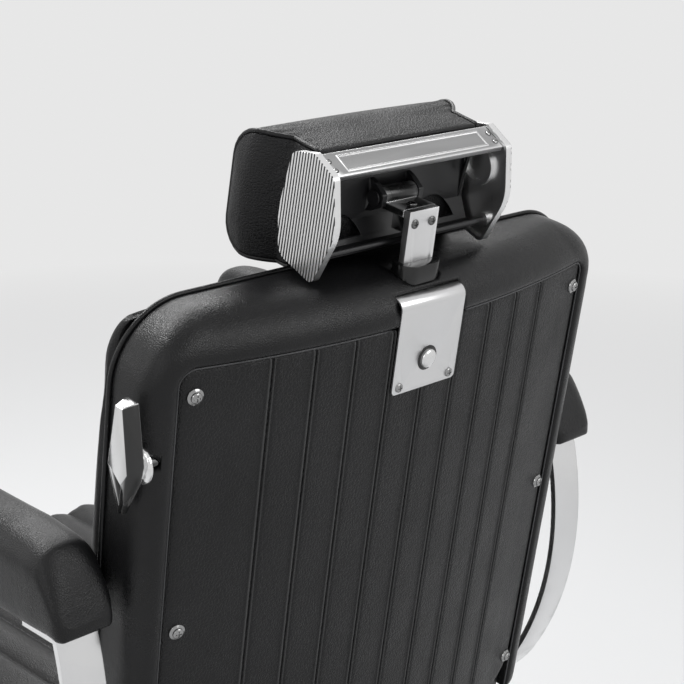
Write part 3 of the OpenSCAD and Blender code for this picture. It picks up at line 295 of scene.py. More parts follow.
def polished(name, tone=0.8, rough=0.07, edge=0.0008, painted_shade=None):
    """Chrome plate with faint smears and hairlines; facets that face one way can be painted darker as shade.
    """
    s = Shader(name)
    smear = s.noise(18, 5)
    hair = s.cells(260, "F1", s.stretched((1, 0.08, 1)))
    tint = s.mix(smear, grey(tone * 0.93), grey(tone))
    # painted shade: facets that face along the given way darkened towards the given tone
    if painted_shade:
        way, low = painted_shade
        facing = s.vectors("DOT_PRODUCT", s.node("ShaderNodeTexCoord").outputs["Normal"], way)
        tint = s.mix(s.ramp(facing, 0.35, 0.85), tint, grey(low))
    s.set(Base_Color=tint, Metallic=1.0,
          Roughness=s.ramp(s.blend(smear, 0.8, hair, 0.2), 0.3, 0.75, rough * 0.6, rough * 1.9),
          Normal=s.bump(s.noise(60, 3), 0.02, 0.0006, s.soft_edges(edge)))
    return s.material


def coated(name, color, rough, grain, depth, edge=0.0008, edge_highlight=0.0):
    """Paint, moulded plastic, rubber or a casting: a fine surface texture, uneven gloss and, where asked, a
    highlight painted along the edges.
    """
    s = Shader(name)
    cloud = s.noise(12, 5)
    round_edge = s.soft_edges(edge)
    tint = s.mix(cloud, tuple(c * 0.75 for c in color), tuple(c * 1.15 for c in color))
    if edge_highlight:
        # painted highlight: the edges lightened and made metallic
        painted_highlight = s.edge_highlight_mask(round_edge, edge_highlight)
        tint = s.mix(painted_highlight, tint, grey(0.7))
        s.set(Metallic=painted_highlight)
    s.set(Base_Color=tint, Roughness=s.ramp(cloud, 0.3, 0.7, rough - 0.06, rough + 0.08),
          Normal=s.bump(s.noise(grain, 4), depth, 0.0005, round_edge))
    return s.material


def ribbed(name, tone, rough):
    """A plated cover with painted shade, near black and not metallic, in the grooves between its ribs, which
    follow the headrest's lean.
    """
    s = Shader(name)
    share = s.to_nearest(s.local(IN_HEAD, 1), RIB_PITCH * MM)
    groove = s.ramp(s.math("ABSOLUTE", share), 0.25, 0.31)
    face = s.ramp(s.math("ABSOLUTE", s.x()), (RIB_FOOT - 0.05) * MM, (RIB_FOOT + 0.05) * MM)
    # painted shade: the grooves near black and not metallic
    dark = s.math("MULTIPLY", groove, face)
    wear = s.noise(40, 5)
    line = s.noise(1.0, 3, s.stretched((900, 900, 12)), 0.7)
    s.set(Base_Color=s.mix(dark, s.mix(wear, grey(tone * 0.86), grey(tone)), grey(0.012)),
          Metallic=s.ramp(dark, 0, 1, 1.0, 0.0),
          Roughness=s.ramp(s.blend(line, 0.6, wear, 0.4), 0.3, 0.7, rough - 0.05, rough + 0.09),
          Normal=s.bump(line, 0.1, 0.0001, s.soft_edges(0.0004)))
    return s.material


def chromed_button(name):
    """A chromed dome in a surround painted black as the shade round it; the surround is what lies outside the
    dome's radius.
    """
    s = Shader(name)
    x = s.x()
    up = s.math("SUBTRACT", s.local(IN_BACK, 2), BUTTON_Z * MM)
    away = s.math("SQRT", s.math("ADD", s.math("MULTIPLY", up, up), s.math("MULTIPLY", x, x)))
    rim = s.ramp(away, (DOME_R - 0.1) * MM, (DOME_R + 0.1) * MM)
    # painted shade: outside the dome near black and not metallic
    s.set(Base_Color=s.mix(rim, s.mix(s.noise(30, 4), grey(0.7), grey(0.8)), grey(0.008)),
          Metallic=s.ramp(rim, 0, 1, 1.0, 0.0),
          Roughness=s.ramp(s.noise(40, 4), 0.3, 0.7, 0.12, 0.2), Normal=s.bump(s.noise(300, 3), 0.05, 0.0002))
    return s.material


def plywood(name):
    """Plywood, with its grain along X."""
    s = Shader(name)
    rings = s.noise(3.2, 5, s.stretched((6, 60, 60)), 0.6)
    s.set(Base_Color=s.mix(s.ramp(rings, 0.35, 0.68), (0.42, 0.27, 0.14), (0.62, 0.45, 0.27)),
          Roughness=s.ramp(rings, 0.3, 0.7, 0.5, 0.7),
          Normal=s.bump(rings, 0.25, 0.0006, s.soft_edges(0.001)))
    return s.material


def studio_floor(name):
    """Plain pale studio floor, which turns into an even backdrop of the same tone away from the chair."""
    s = Shader(name)
    s.set(Base_Color=s.mix(s.noise(900, 2), grey(FLOOR_TONE * 0.99), grey(FLOOR_TONE)), Roughness=0.85,
          Specular_IOR_Level=0.15)
    far = s.ramp(s.vectors("LENGTH", s.place), 1.3, 3.6)
    backdrop = s.node("ShaderNodeEmission", {"Color": (*grey(FLOOR_TONE), 1), "Strength": 1.0})
    s.surface("Material Output", s.math("MULTIPLY", far, s.seen()), s.main.outputs["BSDF"],
              backdrop.outputs["Emission"])
    return s.material


PANEL_LEATHER = leather("panel_leather", grain=330, depth=0.7, rough=0.36, pleats=True)
SMOOTH_LEATHER = leather("smooth_leather", grain=520, depth=0.28, rough=0.34)
SEAT_LEATHER = leather("seat_leather", grain=420, depth=0.42, rough=0.38)
PILLOW_LEATHER = leather("pillow_leather", grain=400, depth=0.7, rough=0.46)
PIPING = leather("piping_leather", grain=700, depth=0.2, rough=0.24)
# painted highlight: the welt's tint is lighter than the other leather's, for a bright line along the panel's
# edge
WELT = leather("welt_leather", grain=900, depth=0.1, rough=0.2, tint=(0.05, 0.05, 0.052))
CHROME = polished("chrome")
# painted shade: the screws' plated steel toned down, a dark reflection painted into its colour, darkest on
# the stem's and the plate's screws
SCREW = polished("screw_steel", tone=0.34, rough=0.14, edge=0.0002)
DARK_SCREW = polished("dark_screw", tone=0.16, rough=0.14, edge=0.0002)
LEVER = polished("lever_chrome", tone=0.78, rough=0.12, edge=0.0005, painted_shade=((0.35, 0.92, -0.15), 0.06))
BUTTON = chromed_button("release_button_chrome")
SATIN = brushed("satin_steel", tone=0.74, rough=0.3, along="z")
SATIN_UP = brushed("satin_steel_upright", tone=0.74, rough=0.34, along="z", edge=0.0002)
# with a highlight painted along its edges
SATIN_BAR = brushed("satin_bar", tone=0.38, rough=0.4, along="x", edge=0.0011, edge_highlight=1.0)
STRAP_STEEL = brushed("strap_steel", tone=0.78, rough=0.22, along="x", edge=0.001)
BEARING = brushed("bearing_steel", tone=0.45, rough=0.3, along="z")
RIBBED = ribbed("ribbed_cover", tone=0.86, rough=0.3)
BLACK_STEEL = coated("black_enamel", (0.012, 0.012, 0.013), rough=0.34, grain=500, depth=0.08)
# black enamel with a highlight painted along its edges
BLACK_EDGE_LIT = coated("black_enamel_edge_highlight", grey(0.008), rough=0.24, grain=500, depth=0.06, edge=0.0011,
                    edge_highlight=1.0)
# painted shade: near black for the bar screws' countersinks and cross recesses
RECESS_SHADE = coated("painted_recess_shade", grey(0.006), rough=0.45, grain=600, depth=0.08)
CASTING = coated("casting", (0.03, 0.03, 0.032), rough=0.55, grain=260, depth=0.5)
RUBBER = coated("rubber", grey(0.016), rough=0.62, grain=420, depth=0.3)
COLLAR = coated("black_plastic", grey(0.008), rough=0.16, grain=900, depth=0.03)
WOOD = plywood("plywood")
FLOOR = studio_floor("studio_floor")

SLOT_MATERIAL = {
    "chrome": CHROME, "bright_steel": SATIN_UP, "black_steel": BLACK_STEEL, "cast_iron": CASTING,
    "leather": SEAT_LEATHER, "upholstery": PANEL_LEATHER, "wood": WOOD, "rubber": RUBBER,
    "black_plastic": COLLAR, "plated_plastic": SATIN_UP, "bearing_steel": BEARING,
}
NODE_MATERIAL = {
    "arm_strap_left": STRAP_STEEL, "arm_strap_right": STRAP_STEEL, "stem_plate": SATIN,
    "headrest_bar": SATIN_BAR, "headrest_stem": SATIN_UP, "side_cover_left": RIBBED,
    "side_cover_right": RIBBED, "headrest_pin": BLACK_STEEL,
    "panel_screws": SCREW, "panel_washers": SCREW, "stem_screws": DARK_SCREW, "plate_screws": DARK_SCREW,
    "release_button": BUTTON, "recline_lever": LEVER, "hinge_block": BLACK_EDGE_LIT,
}


def paint(obj, material):
    obj.data.materials.clear()
    obj.data.materials.append(material)


for node_name, solid in nodes.items():
    paint(solid, NODE_MATERIAL.get(node_name) or SLOT_MATERIAL[slot_of[node_name]])


# ------------------------------------------------------------------ meshes
def linked(name, data):
    """A new object in the scene."""
    obj = bpy.data.objects.new(name, data)
    bpy.context.scene.collection.objects.link(obj)
    return obj


def shade_smooth(mesh):
    mesh.polygons.foreach_set("use_smooth", [True] * len(mesh.polygons))


def mesh_object(name, points, faces, material, smooth=True):
    """A new piece from its points in metres and its faces."""
    mesh = bpy.data.meshes.new(name)
    mesh.from_pydata([tuple(p) for p in points], [], faces)
    mesh.validate()
    mesh.update()
    obj = linked(name, mesh)
    paint(obj, material)
    if smooth:
        shade_smooth(mesh)
    return obj


def placed(points, matrix):
    """Points in millimetres of a local frame, as points in metres of the shared frame."""
    m = np.array(matrix)
    return np.asarray(points, float) * MM @ m[:3, :3].T + m[:3, 3]


def around(count):
    """Evenly spaced angles of a full turn."""
    return np.linspace(0, 2 * math.pi, count, endpoint=False)


def rings_mesh(name, rings, matrix, material):
    """A closed skin over rings of equal length that run along the piece."""
    count, size = len(rings), len(rings[0])
    points = placed(np.concatenate([np.asarray(r, float) for r in rings]), matrix)
    faces = [(i * size + j, (i + 1) * size + j, (i + 1) * size + (j + 1) % size, i * size + (j + 1) % size)
             for i in range(count - 1) for j in range(size)]
    faces += [tuple(range(size)), tuple(reversed(range((count - 1) * size, count * size)))]
    obj = mesh_object(name, points, faces, material)
    outward(obj)
    return obj


def outward(obj):
    """Turns all faces outward."""
    b = bmesh.new()
    b.from_mesh(obj.data)
    bmesh.ops.recalc_face_normals(b, faces=b.faces)
    b.to_mesh(obj.data)
    b.free()


def tube(name, path, radius, matrix, material):
    """A round bead, such as piping, along a path in millimetres."""
    path = placed(path, matrix) / MM
    rings, side = [], None
    for i, p in enumerate(path):
        ahead = Vector(path[min(i + 1, len(path) - 1)] - path[max(i - 1, 0)]).normalized()
        side = ahead.orthogonal() if side is None else side - ahead * side.dot(ahead)
        side.normalize()
        over = side.cross(ahead).normalized()
        rings.append([Vector(p) + radius * (math.cos(t) * side + math.sin(t) * over) for t in around(8)])
    return rings_mesh(name, rings, UPRIGHT, material)


def points_of(obj):
    """A mesh's points in metres, as rows."""
    co = np.empty(len(obj.data.vertices) * 3)
    obj.data.vertices.foreach_get("co", co)
    return co.reshape(-1, 3)


def puff(obj, pinned, pressure, cap):
    """Blows the cover up against its pinned seams as cloth, and keeps the result in the mesh."""
    seams = obj.vertex_groups.new(name="seams")
    seams.add(pinned, 1.0, "REPLACE")
    cloth = obj.modifiers.new("cover", "CLOTH")
    how = cloth.settings
    how.quality = 6
    how.mass = 0.25
    how.tension_stiffness = how.compression_stiffness = how.shear_stiffness = 18
    how.bending_stiffness = 0.6
    how.use_pressure = True
    how.uniform_pressure_force = pressure
    how.vertex_group_mass = "seams"
    how.effector_weights.gravity = 0
    cloth.point_cache.frame_start = 1
    cloth.point_cache.frame_end = PUFF_FRAMES
    before = points_of(obj)
    scene = bpy.context.scene
    for f in range(1, PUFF_FRAMES + 1):
        scene.frame_set(f)
    move = points_of(obj.evaluated_get(bpy.context.evaluated_depsgraph_get())) - before
    far = np.linalg.norm(move, axis=1, keepdims=True)
    move *= np.minimum(1, cap * MM / np.maximum(far, 1e-9))
    obj.modifiers.remove(cloth)
    scene.frame_set(1)
    obj.data.vertices.foreach_set("co", (before + move).ravel())
    obj.data.update()


def smooth_more(obj):
    """Subdivides a piece once."""
    fine = obj.modifiers.new("fine", "SUBSURF")
    fine.levels = fine.render_levels = 1


def sharpen(obj, degrees):
    """Keeps edges steeper than an angle crisp under smooth shading."""
    obj.data.set_sharp_from_angle(angle=math.radians(degrees))


def cut_with(obj, cutters):
    """Takes the cutters out of a piece, and removes them."""
    for c in cutters:
        cut = obj.modifiers.new("cut", "BOOLEAN")
        cut.object = c
        cut.operation = "DIFFERENCE"
        cut.solver = "EXACT"
    done = bpy.data.meshes.new_from_object(obj.evaluated_get(bpy.context.evaluated_depsgraph_get()))
    obj.modifiers.clear()
    old = obj.data
    obj.data = done
    bpy.data.meshes.remove(old)
    shade_smooth(done)
    for c in cutters:
        bpy.data.objects.remove(c)


def solid_copy(node, ending, weld, flat=None):
    """A node's CAD solid as a new piece, with its near points welded and, when asked, its small facets
    merged.
    """
    obj = linked(node + ending, nodes[node].data.copy())
    b = bmesh.new()
    b.from_mesh(obj.data)
    bmesh.ops.remove_doubles(b, verts=b.verts, dist=weld)
    if flat:
        bmesh.ops.dissolve_limit(b, angle_limit=math.radians(flat), verts=b.verts, edges=b.edges)
    b.to_mesh(obj.data)
    b.free()
    shade_smooth(obj.data)
    return obj


def stands_for(obj, node):
    """Lets a piece ride and show in a node's place."""
    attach(obj, nodes[node]["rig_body"])
    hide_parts(node)


def edged(node, width):
    """A rigid piece again, from its CAD solid, with its sharp edges broken."""
    obj = solid_copy(node, "_finished", 0.00002, 0.6)
    edge = obj.modifiers.new("edges", "BEVEL")
    edge.width = width * MM
    edge.segments = 2
    edge.limit_method = "ANGLE"
    edge.angle_limit = math.radians(SHARP)
    edge.harden_normals = True
    stands_for(obj, node)


def smoothed(node):
    """A turned or moulded piece again, from its CAD solid, shaded smooth between its sharp edges."""
    obj = solid_copy(node, "_smooth", 0.00001)
    sharpen(obj, SHARP)
    obj.modifiers.new("normals", "WEIGHTED_NORMAL").keep_sharp = True
    stands_for(obj, node)


def soft(obj, body, node):
    """Lets a padded cover stand for a soft node."""
    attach(obj, body)
    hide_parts(node)


def trim(obj, body):
    """Lets a small piece of the visual model ride on a body."""
    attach(obj, body)


# ------------------------------------------------------------------ back
def bow(x):
    """Depth of the rear panel's bowed face, from its middle."""
    return math.sqrt(BOW_R ** 2 - x * x) - BOW_R


def hill(off, wide):
    """1 at no offset, falling to nothing on both sides."""
    return math.exp(-(off / wide) ** 2)


def nearest_groove(x, last):
    """Number of the groove nearest to x, counted from the middle one."""
    return max(-last, min(last, round(x / PITCH)))


def panel_section(x):
    """Height of the panel's leather above the bowed face: grooves, and a ridge beside each one."""
    d = x - nearest_groove(x, PANEL_GROOVES) * PITCH
    groove = -1.7 * hill(d - 0.2, 0.9) - 0.6 * hill(d + 3.6, 1.0)
    ridge = 1.1 * hill(d - RIDGE, 1.2) + 0.8 * hill(d - LIP, 0.8)
    crown = 0.55 * math.sin(math.pi * ((x / PITCH) % 1.0)) ** 0.8
    return groove + ridge + crown - 0.55


def panel_edge(z):
    """Half width of the panel at a height, with its rounded corners."""
    for corner, radius, up in ((PANEL_LOW, CORNER_FOOT, 1), (PANEL_TOP, CORNER_IN, -1)):
        inside = (z - corner) * up
        if inside < radius:
            return PANEL_HALF - radius + math.sqrt(max(0, radius ** 2 - (radius - inside) ** 2))
    return PANEL_HALF


def make_panel():
    """The rear panel's channelled leather, with a hole for the button's surround."""
    beside = np.array([-7, -5.5, -4.4, -3.6, -2.8, -2.2, -1.7, -1.1, -0.5, 0.1, 0.7, 1.3, 1.9, 2.6, 3.4,
                       4.4, 5.8])
    grooves = [(k * PITCH + beside) / PANEL_HALF for k in range(-PANEL_GROOVES, PANEL_GROOVES + 1)]
    shares = np.unique(np.concatenate([np.linspace(-1, 1, 61)] + grooves))
    zs = np.concatenate([PANEL_LOW + np.array([0.3, 1.2, 3, 6, 11, 18, 27, 38, 50]),
                         np.linspace(PANEL_LOW + 62, PANEL_TOP - 22, 50),
                         PANEL_TOP - np.array([14, 9, 5, 2.5, 1.0, 0.3])])
    rings = []
    for z in zs:
        half = panel_edge(z)
        ends = min(1.0, (PANEL_TOP - z) / EDGE_FALL, (z - PANEL_LOW) / EDGE_FALL)
        ring = []
        for s in shares:
            x = max(-half, min(half, s * PANEL_HALF))
            side = min(1.0, (PANEL_HALF - abs(s) * PANEL_HALF) / EDGE_FALL)
            edge = 1 - (1 - min(side, ends)) ** 2
            ring.append((x, bow(x) + panel_section(x) * edge - EDGE_DROP * (1 - edge), z))
        ring += [(x, bow(x) - PANEL_DEEP, z) for x in -half * np.linspace(-1, 1, 25)]
        rings.append(ring)
    obj = rings_mesh("rear_panel_leather", rings, IN_BACK, PANEL_LEATHER)
    hole = [[(BUTTON_HOLE * math.cos(t), n, BUTTON_Z + BUTTON_HOLE * math.sin(t)) for t in around(40)]
            for n in (-9, 6)]
    cut_with(obj, [rings_mesh("cut_button", hole, IN_BACK, PANEL_LEATHER)])
    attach(obj, "back")
    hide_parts("rear_panel")


def border_stations():
    """Inner and outer outline of the border, from one foot over the top to the other."""
    inner, outer, crest = PANEL_HALF + 0.3, BACK_HALF, PANEL_TOP + 0.3
    zs = np.concatenate([BORDER_LOW + np.array([0, 2, 5, 10, 18]),
                         np.linspace(BORDER_LOW + 30, ROLL_TOP - CORNER_OUT - 4, 26)])
    half = [((inner, z), (outer, z)) for z in zs]
    for a in np.linspace(0, math.pi / 2, 17):
        c, s = math.cos(a), math.sin(a)
        half.append(((inner - CORNER_IN + CORNER_IN * c, crest - CORNER_IN * (1 - s)),
                     (outer - CORNER_OUT + CORNER_OUT * c, ROLL_TOP - CORNER_OUT * (1 - s))))
    for k in np.linspace(1, 0, 26)[1:]:
        half.append(((k * (inner - CORNER_IN), crest), (k * (outer - CORNER_OUT), ROLL_TOP)))
    flip = [((-a[0], a[1]), (-b[0], b[1])) for a, b in half]
    return flip + half[::-1][1:]


def border_ring(inner, outer, full):
    """The border's section between its inner and outer outline: round at the rear and outside."""
    a, b = np.array(inner), np.array(outer)
    rear = bow(inner[0]) + ROLL_CREST
    reach = min(34.0, np.linalg.norm(b - a) * 0.92)
    end = (1 - full) * 9
    front = BORDER_FRONT + end
    section = [(0.0, rear - 6), (0.012, rear - 3.6), (0.04, rear - 1.7), (0.08, rear - 0.5)]
    for t in np.radians(np.linspace(90, 0, 10)):
        section.append((0.14 + 0.86 * math.cos(t), rear - end - reach * (1 - math.sin(t))))
    section += [(1.0, front + 22), (1.0, front + 10), (0.985, front + 4), (0.93, front + 1), (0.8, front),
                (0.4, front), (0.0, front), (0.0, front + 20), (0.0, rear - 24)]
    ring = []
    for share, n in section:
        x, z = a + (b - a) * share * full
        ring.append((x, n, z))
    return ring


def piping_place(x, z):
    """Where the roll's piping runs at a point of its outer outline."""
    out = math.copysign(0.6, x) if abs(x) > 150 else 0.0
    return (x + out, BORDER_FRONT + 3.0, z + 0.3)


def make_border():
    """The padded roll round the rear panel, its piping, and the fine welt along the panel's edge."""
    stations = border_stations()
    last = len(stations) - 1
    rings = []
    for i, (inner, outer) in enumerate(stations):
        near = min(i, last - i)
        rings.append(border_ring(inner, outer, (0.7, 0.88, 0.96, 0.99, 1.0)[min(near, 4)]))
    obj = rings_mesh("back_roll", rings, IN_BACK, SMOOTH_LEATHER)
    cut_with(obj, roll_cutters())
    soft(obj, "back", "back_border")
    bead = tube("back_piping", [piping_place(*outer) for _, outer in stations], PIPING_R, IN_BACK, PIPING)
    trim(bead, "back")
    smooth_more(bead)
    edge = [(x - math.copysign(0.2, x), bow(x) - 0.5, z - 0.2) for (x, z), _ in stations]
    for word, sign in (("right", -1), ("left", 1)):
        path = [p for p in edge if p[0] * sign > PLATE_HALF + 1]
        trim(tube("panel_welt_" + word, path, WELT_R, IN_BACK, WELT), "back")


def box_cutter(name, low, high):
    """A box between two corners in the back's frame."""
    corners = [(x, y, z) for x in (low[0], high[0]) for y in (low[1], high[1]) for z in (low[2], high[2])]
    faces = [(0, 1, 3, 2), (4, 6, 7, 5), (0, 4, 5, 1), (2, 3, 7, 6), (0, 2, 6, 4), (1, 5, 7, 3)]
    return mesh_object(name, placed(corners, IN_BACK), faces, SMOOTH_LEATHER, False)


def roll_cutters():
    """Room in the roll for the bent plate, the stem, its guide and collar, and the lever's hub."""
    half = PLATE_HALF + 0.4
    cutters = [box_cutter("cut_plate", (-half, -9.0, 8), (half, 14, 90)),
               box_cutter("cut_plate_top", (-half, -18.4, 43.6), (half, -5, 48.2)),
               box_cutter("cut_guide", (-GUIDE_HALF, -33.6, 5), (GUIDE_HALF, -4, 46))]
    wide, deep = COLLAR_HOLE
    oval = [[(wide * squared(math.cos(t)), COLLAR_N + deep * squared(math.sin(t)), z) for t in around(32)]
            for z in (43, 90)]
    cutters.append(rings_mesh("cut_oval", oval, IN_BACK, SMOOTH_LEATHER))
    hub = [[(x, LEVER_N + LEVER_HOLE * math.cos(t), LEVER_Z + LEVER_HOLE * math.sin(t)) for t in around(24)]
           for x in (232, 280)]
    cutters.append(rings_mesh("cut_hub", hub, IN_BACK, SMOOTH_LEATHER))
    return cutters


def squared(c):
    """Squares a circle slightly, for the oval collar."""
    return math.copysign(abs(c) ** 0.8, c)


# ------------------------------------------------------------------ channelled pads
def pad_section(w, h, swell, depth, grooves):
    """Section of a channelled pad, flat side down: x, height, and 1 at the lower seam, 2 in a groove."""
    r = min(26, h * 0.42)
    side = [(-w / 2 + 6, 0, 1), (-w / 2 + 1, h * 0.05, 0), (-w / 2 - swell * 0.3, h * 0.14, 0),
            (-w / 2 - swell * 0.8, h * 0.3, 0), (-w / 2 - swell, h * 0.45, 0)]
    for a in np.radians(np.linspace(0, 72, 6)):
        side.append((-w / 2 + r - (r + swell * 0.8) * math.cos(a), h - r + r * math.sin(a) - 1, 0))
    xs = [-(grooves + 0.3) * PITCH]
    for k in range(-grooves, grooves + 1):
        xs += [k * PITCH + d for d in (-8, -4.5, -1.6, 0, 1.6, 4.5, 8)]
        if k < grooves:
            xs += [(k + 0.36) * PITCH, (k + 0.5) * PITCH, (k + 0.64) * PITCH]
    xs.append((grooves + 0.3) * PITCH)
    top = []
    for x in xs:
        d = abs(x - nearest_groove(x, grooves) * PITCH)
        share = min(1.0, d / (PITCH / 2))
        top.append((x, h - depth * (1 - share ** 0.55) + depth * 0.15 * share, 2 if d < 2 else 0))
    return side + top + [(-x, z, kind) for x, z, kind in side[::-1]]


def end_shape(s):
    """How wide and how high the pad is at a share of its length: full, with round ends."""
    t = min(1.0, min(s, 1 - s) / 0.06)
    round_end = math.sqrt(max(0.0, 1 - (1 - t) ** 2))
    return 0.94 + 0.06 * round_end, 0.55 + 0.45 * round_end


def channelled(name, length, section, place, matrix, pressure, cap):
    """A pad with sewn channels along it, puffed up between them; place puts a point of it in its frame."""
    ends = np.array([0, 0.004, 0.012, 0.025, 0.042, 0.065])
    shares = np.concatenate([ends, np.linspace(0.1, 0.9, 34), 1 - ends[::-1]])
    rings, pinned = [], []
    for i, s in enumerate(shares):
        wide, high = end_shape(s)
        rings.append([place(x * wide, length * s, z * high) for x, z, _ in section])
        held = (1,) if i in (0, len(shares) - 1) else (1, 2)
        pinned += [i * len(section) + j for j, point in enumerate(section) if point[2] in held]
    obj = rings_mesh(name, rings, matrix, SEAT_LEATHER)
    puff(obj, pinned, pressure, cap)
    smooth_more(obj)
    return obj


def make_seat():
    """The seat's pad, with its channels from front to back."""
    def place(x, along, up):
        return (x, SEAT_FRONT + along, SEAT_LOW + up)

    section = pad_section(SEAT_W, SEAT_H, swell=3, depth=8, grooves=SEAT_GROOVES)
    obj = channelled("seat_upholstery", SEAT_L, section, place, UPRIGHT, pressure=2.2, cap=5)
    soft(obj, "seat", "seat_cushion")


def make_back_front():
    """The pad that the sitter leans on, with its channels up the back."""
    low, high = BORDER_LOW + 5, ROLL_TOP - 9

    def place(x, along, up):
        return (x, BORDER_FRONT - 0.3 - up * depth_at(along / (high - low)), low + along)

    section = pad_section(BACK_PAD_W, BACK_PAD_H, swell=1.5, depth=6, grooves=SEAT_GROOVES)
    obj = channelled("back_upholstery", high - low, section, place, IN_BACK, pressure=2.0, cap=4)
    soft(obj, "back", "back_cushion")


def depth_at(s):
    """How deep the back's pad is up its height: drawn in at the foot, fullest at the loins."""
    heights, depths = [0, 0.05, 0.25, 0.55, 0.85, 0.95, 1.0], [0.62, 0.9, 1.08, 0.98, 0.84, 0.72, 0.55]
    return float(np.interp(s, heights, depths))


def make_calf_pad():
    """The leg rest's pad, with its channels up the leg."""
    def place(x, along, up):
        return (x, CALF_N - up, CALF_LOW + along)

    section = pad_section(CALF_W, CALF_H, swell=2, depth=6, grooves=CALF_GROOVES)
    obj = channelled("calf_upholstery", CALF_L, section, place, IN_LEG, pressure=2.0, cap=3)
    soft(obj, "leg_rest", "calf_pad")


# ------------------------------------------------------------------ headrest
def rounded(points, radii):
    """A closed outline with its corners rounded."""
    steps = 6
    made = []
    for i, p in enumerate(points):
        p = np.array(p, float)
        u, v = (np.array(points[j], float) - p for j in (i - 1, (i + 1) % len(points)))
        u, v = u / np.linalg.norm(u), v / np.linalg.norm(v)
        half = math.acos(max(-1.0, min(1.0, float(u @ v)))) / 2
        middle = p + (u + v) / np.linalg.norm(u + v) * radii[i] / math.sin(half)
        first, last = (p + w * radii[i] / math.tan(half) - middle for w in (u, v))
        a = math.atan2(first[1], first[0])
        sweep = (math.atan2(last[1], last[0]) - a + math.pi) % (2 * math.pi) - math.pi
        for k in range(steps + 1):
            t = a + sweep * k / steps
            made.append(middle + radii[i] * np.array([math.cos(t), math.sin(t)]))
    return np.array(made)


def even(outline, count):
    """The same closed outline with evenly spaced points."""
    loop = np.vstack([outline, outline[:1]])
    along = np.concatenate([[0], np.cumsum(np.linalg.norm(np.diff(loop, axis=0), axis=1))])
    at = np.linspace(0, along[-1], count, endpoint=False)
    return np.column_stack([np.interp(at, along, loop[:, k]) for k in (0, 1)])


PILLOW_MID = np.array([-55.0, -3.0])
PILLOW_BODY = rounded([(-12.3, -41), (-12.3, 38.6), (-1.2, 39.2), (-1.5, 48.6), (-77, 52), (-77, -57.5),
                       (-17, -56.5), (-3.5, -41.3)], [0.5, 0.5, 1, 4, 27, 27, 14, 2.5])


def gathers(x, t):
    """Small gathers of the cover beside its seams, at x and at an angle round the pillow."""
    high = GATHER_HIGH * hill(abs(x) - GATHER_X, GATHER_REACH)
    return high * (math.sin(t * 31 + 1.3) + 0.6 * math.sin(t * 47 + x * 0.2))


def end_place(n):
    """Where the pillow ends at a depth: wide in front of the side covers, drawn in between them."""
    share = min(1.0, max(0.0, (n + 60) / 28.5))
    return PILLOW_HALF - (PILLOW_HALF - COVER_GAP / 2 + 0.5) * share * share


def pillow_ring(x, outline, full, bulge):
    """A section of the pillow at x, of a share of its full size and bulged where the cover is free."""
    ring = []
    for k, q in enumerate(outline):
        out = q - PILLOW_MID
        t = 2 * math.pi * k / len(outline)
        free = 1.0 if q[0] < -20 or q[1] > 46 else 0.0
        grow = free * (bulge + gathers(x, t))
        n, z = PILLOW_MID + out * (full + grow / np.linalg.norm(out))
        ring.append((x * end_place(n) / PILLOW_HALF, n, z))
    return ring


def make_pillow():
    """The headrest's cushion, with its domed end caps and the piping round them."""
    body = even(PILLOW_BODY, 240)
    cap_shares = (0.1, 0.25, 0.4, 0.53, 0.64, 0.73, 0.81, 0.87, 0.905, 0.93)
    half = [(-(PILLOW_HALF + 1.6 - 5.0 * (s / 0.93) ** 2.6), s, 0.0) for s in cap_shares]
    half += [(-PILLOW_SEAM + out, full, bulge) for out, full, bulge in (
        (-1.4, 0.945, 0.0), (0.0, 0.94, 0.0), (1.2, 0.955, 0.0), (2.6, 0.985, 0.0), (5, 1.0, 0.3))]
    for x in np.linspace(-PILLOW_SEAM + 9, 0, 20):
        half.append((x, 1.0, 0.5 + 1.1 * math.cos(x / PILLOW_SEAM * math.pi / 2)))
    rings = [pillow_ring(x, body, full, bulge) for x, full, bulge in half]
    rings += [[(-x, y, z) for x, y, z in ring] for ring in rings[-2::-1]]
    obj = rings_mesh("headrest_upholstery", rings, IN_HEAD, PILLOW_LEATHER)
    firm = len(cap_shares) + 4
    pinned = [i * len(body) + j for i, ring in enumerate(rings) for j, (_, y, z) in enumerate(ring)
              if min(i, len(rings) - 1 - i) < firm or (y > -34 and z < 46) or y > -6]
    puff(obj, pinned, pressure=1.6, cap=1.4)
    sharpen(obj, 50)
    soft(obj, "headrest", "headrest_cushion")
    first = int(np.argmin(np.linalg.norm(body - (-14, -57), axis=1)))
    shown = [q for q in np.roll(body, -first, axis=0) if q[0] < -14 or q[1] > 45]
    for word, side in (("right", -1), ("left", 1)):
        path = [(side * (PILLOW_SEAM + 0.1) * end_place(q[0]) / PILLOW_HALF,
                 *(PILLOW_MID + (q - PILLOW_MID) * 0.985)) for q in shown]
        bead = tube("headrest_piping_" + word, path, PILLOW_PIPING_R, IN_HEAD, PIPING)
        smooth_more(bead)
        trim(bead, "headrest")


def bar_point(x, across, up):
    """A point on the headrest's bar: across it from its front edge, and above its face."""
    a, b = np.array(BAR_FRONT), np.array(BAR_REAR)
    along = (b - a) / np.linalg.norm(b - a)
    y, z = a + along * across + np.array([-along[1], along[0]]) * up
    return Vector((x, y, z))


def lathe(name, profile, centre, axis, matrix, material):
    """A turned piece: a profile of radius and height round an axis."""
    side = axis.orthogonal().normalized()
    other = axis.cross(side)
    rings = [[centre + axis * h + (side * math.cos(t) + other * math.sin(t)) * r for t in around(32)]
             for r, h in profile]
    return rings_mesh(name, rings, matrix, material)


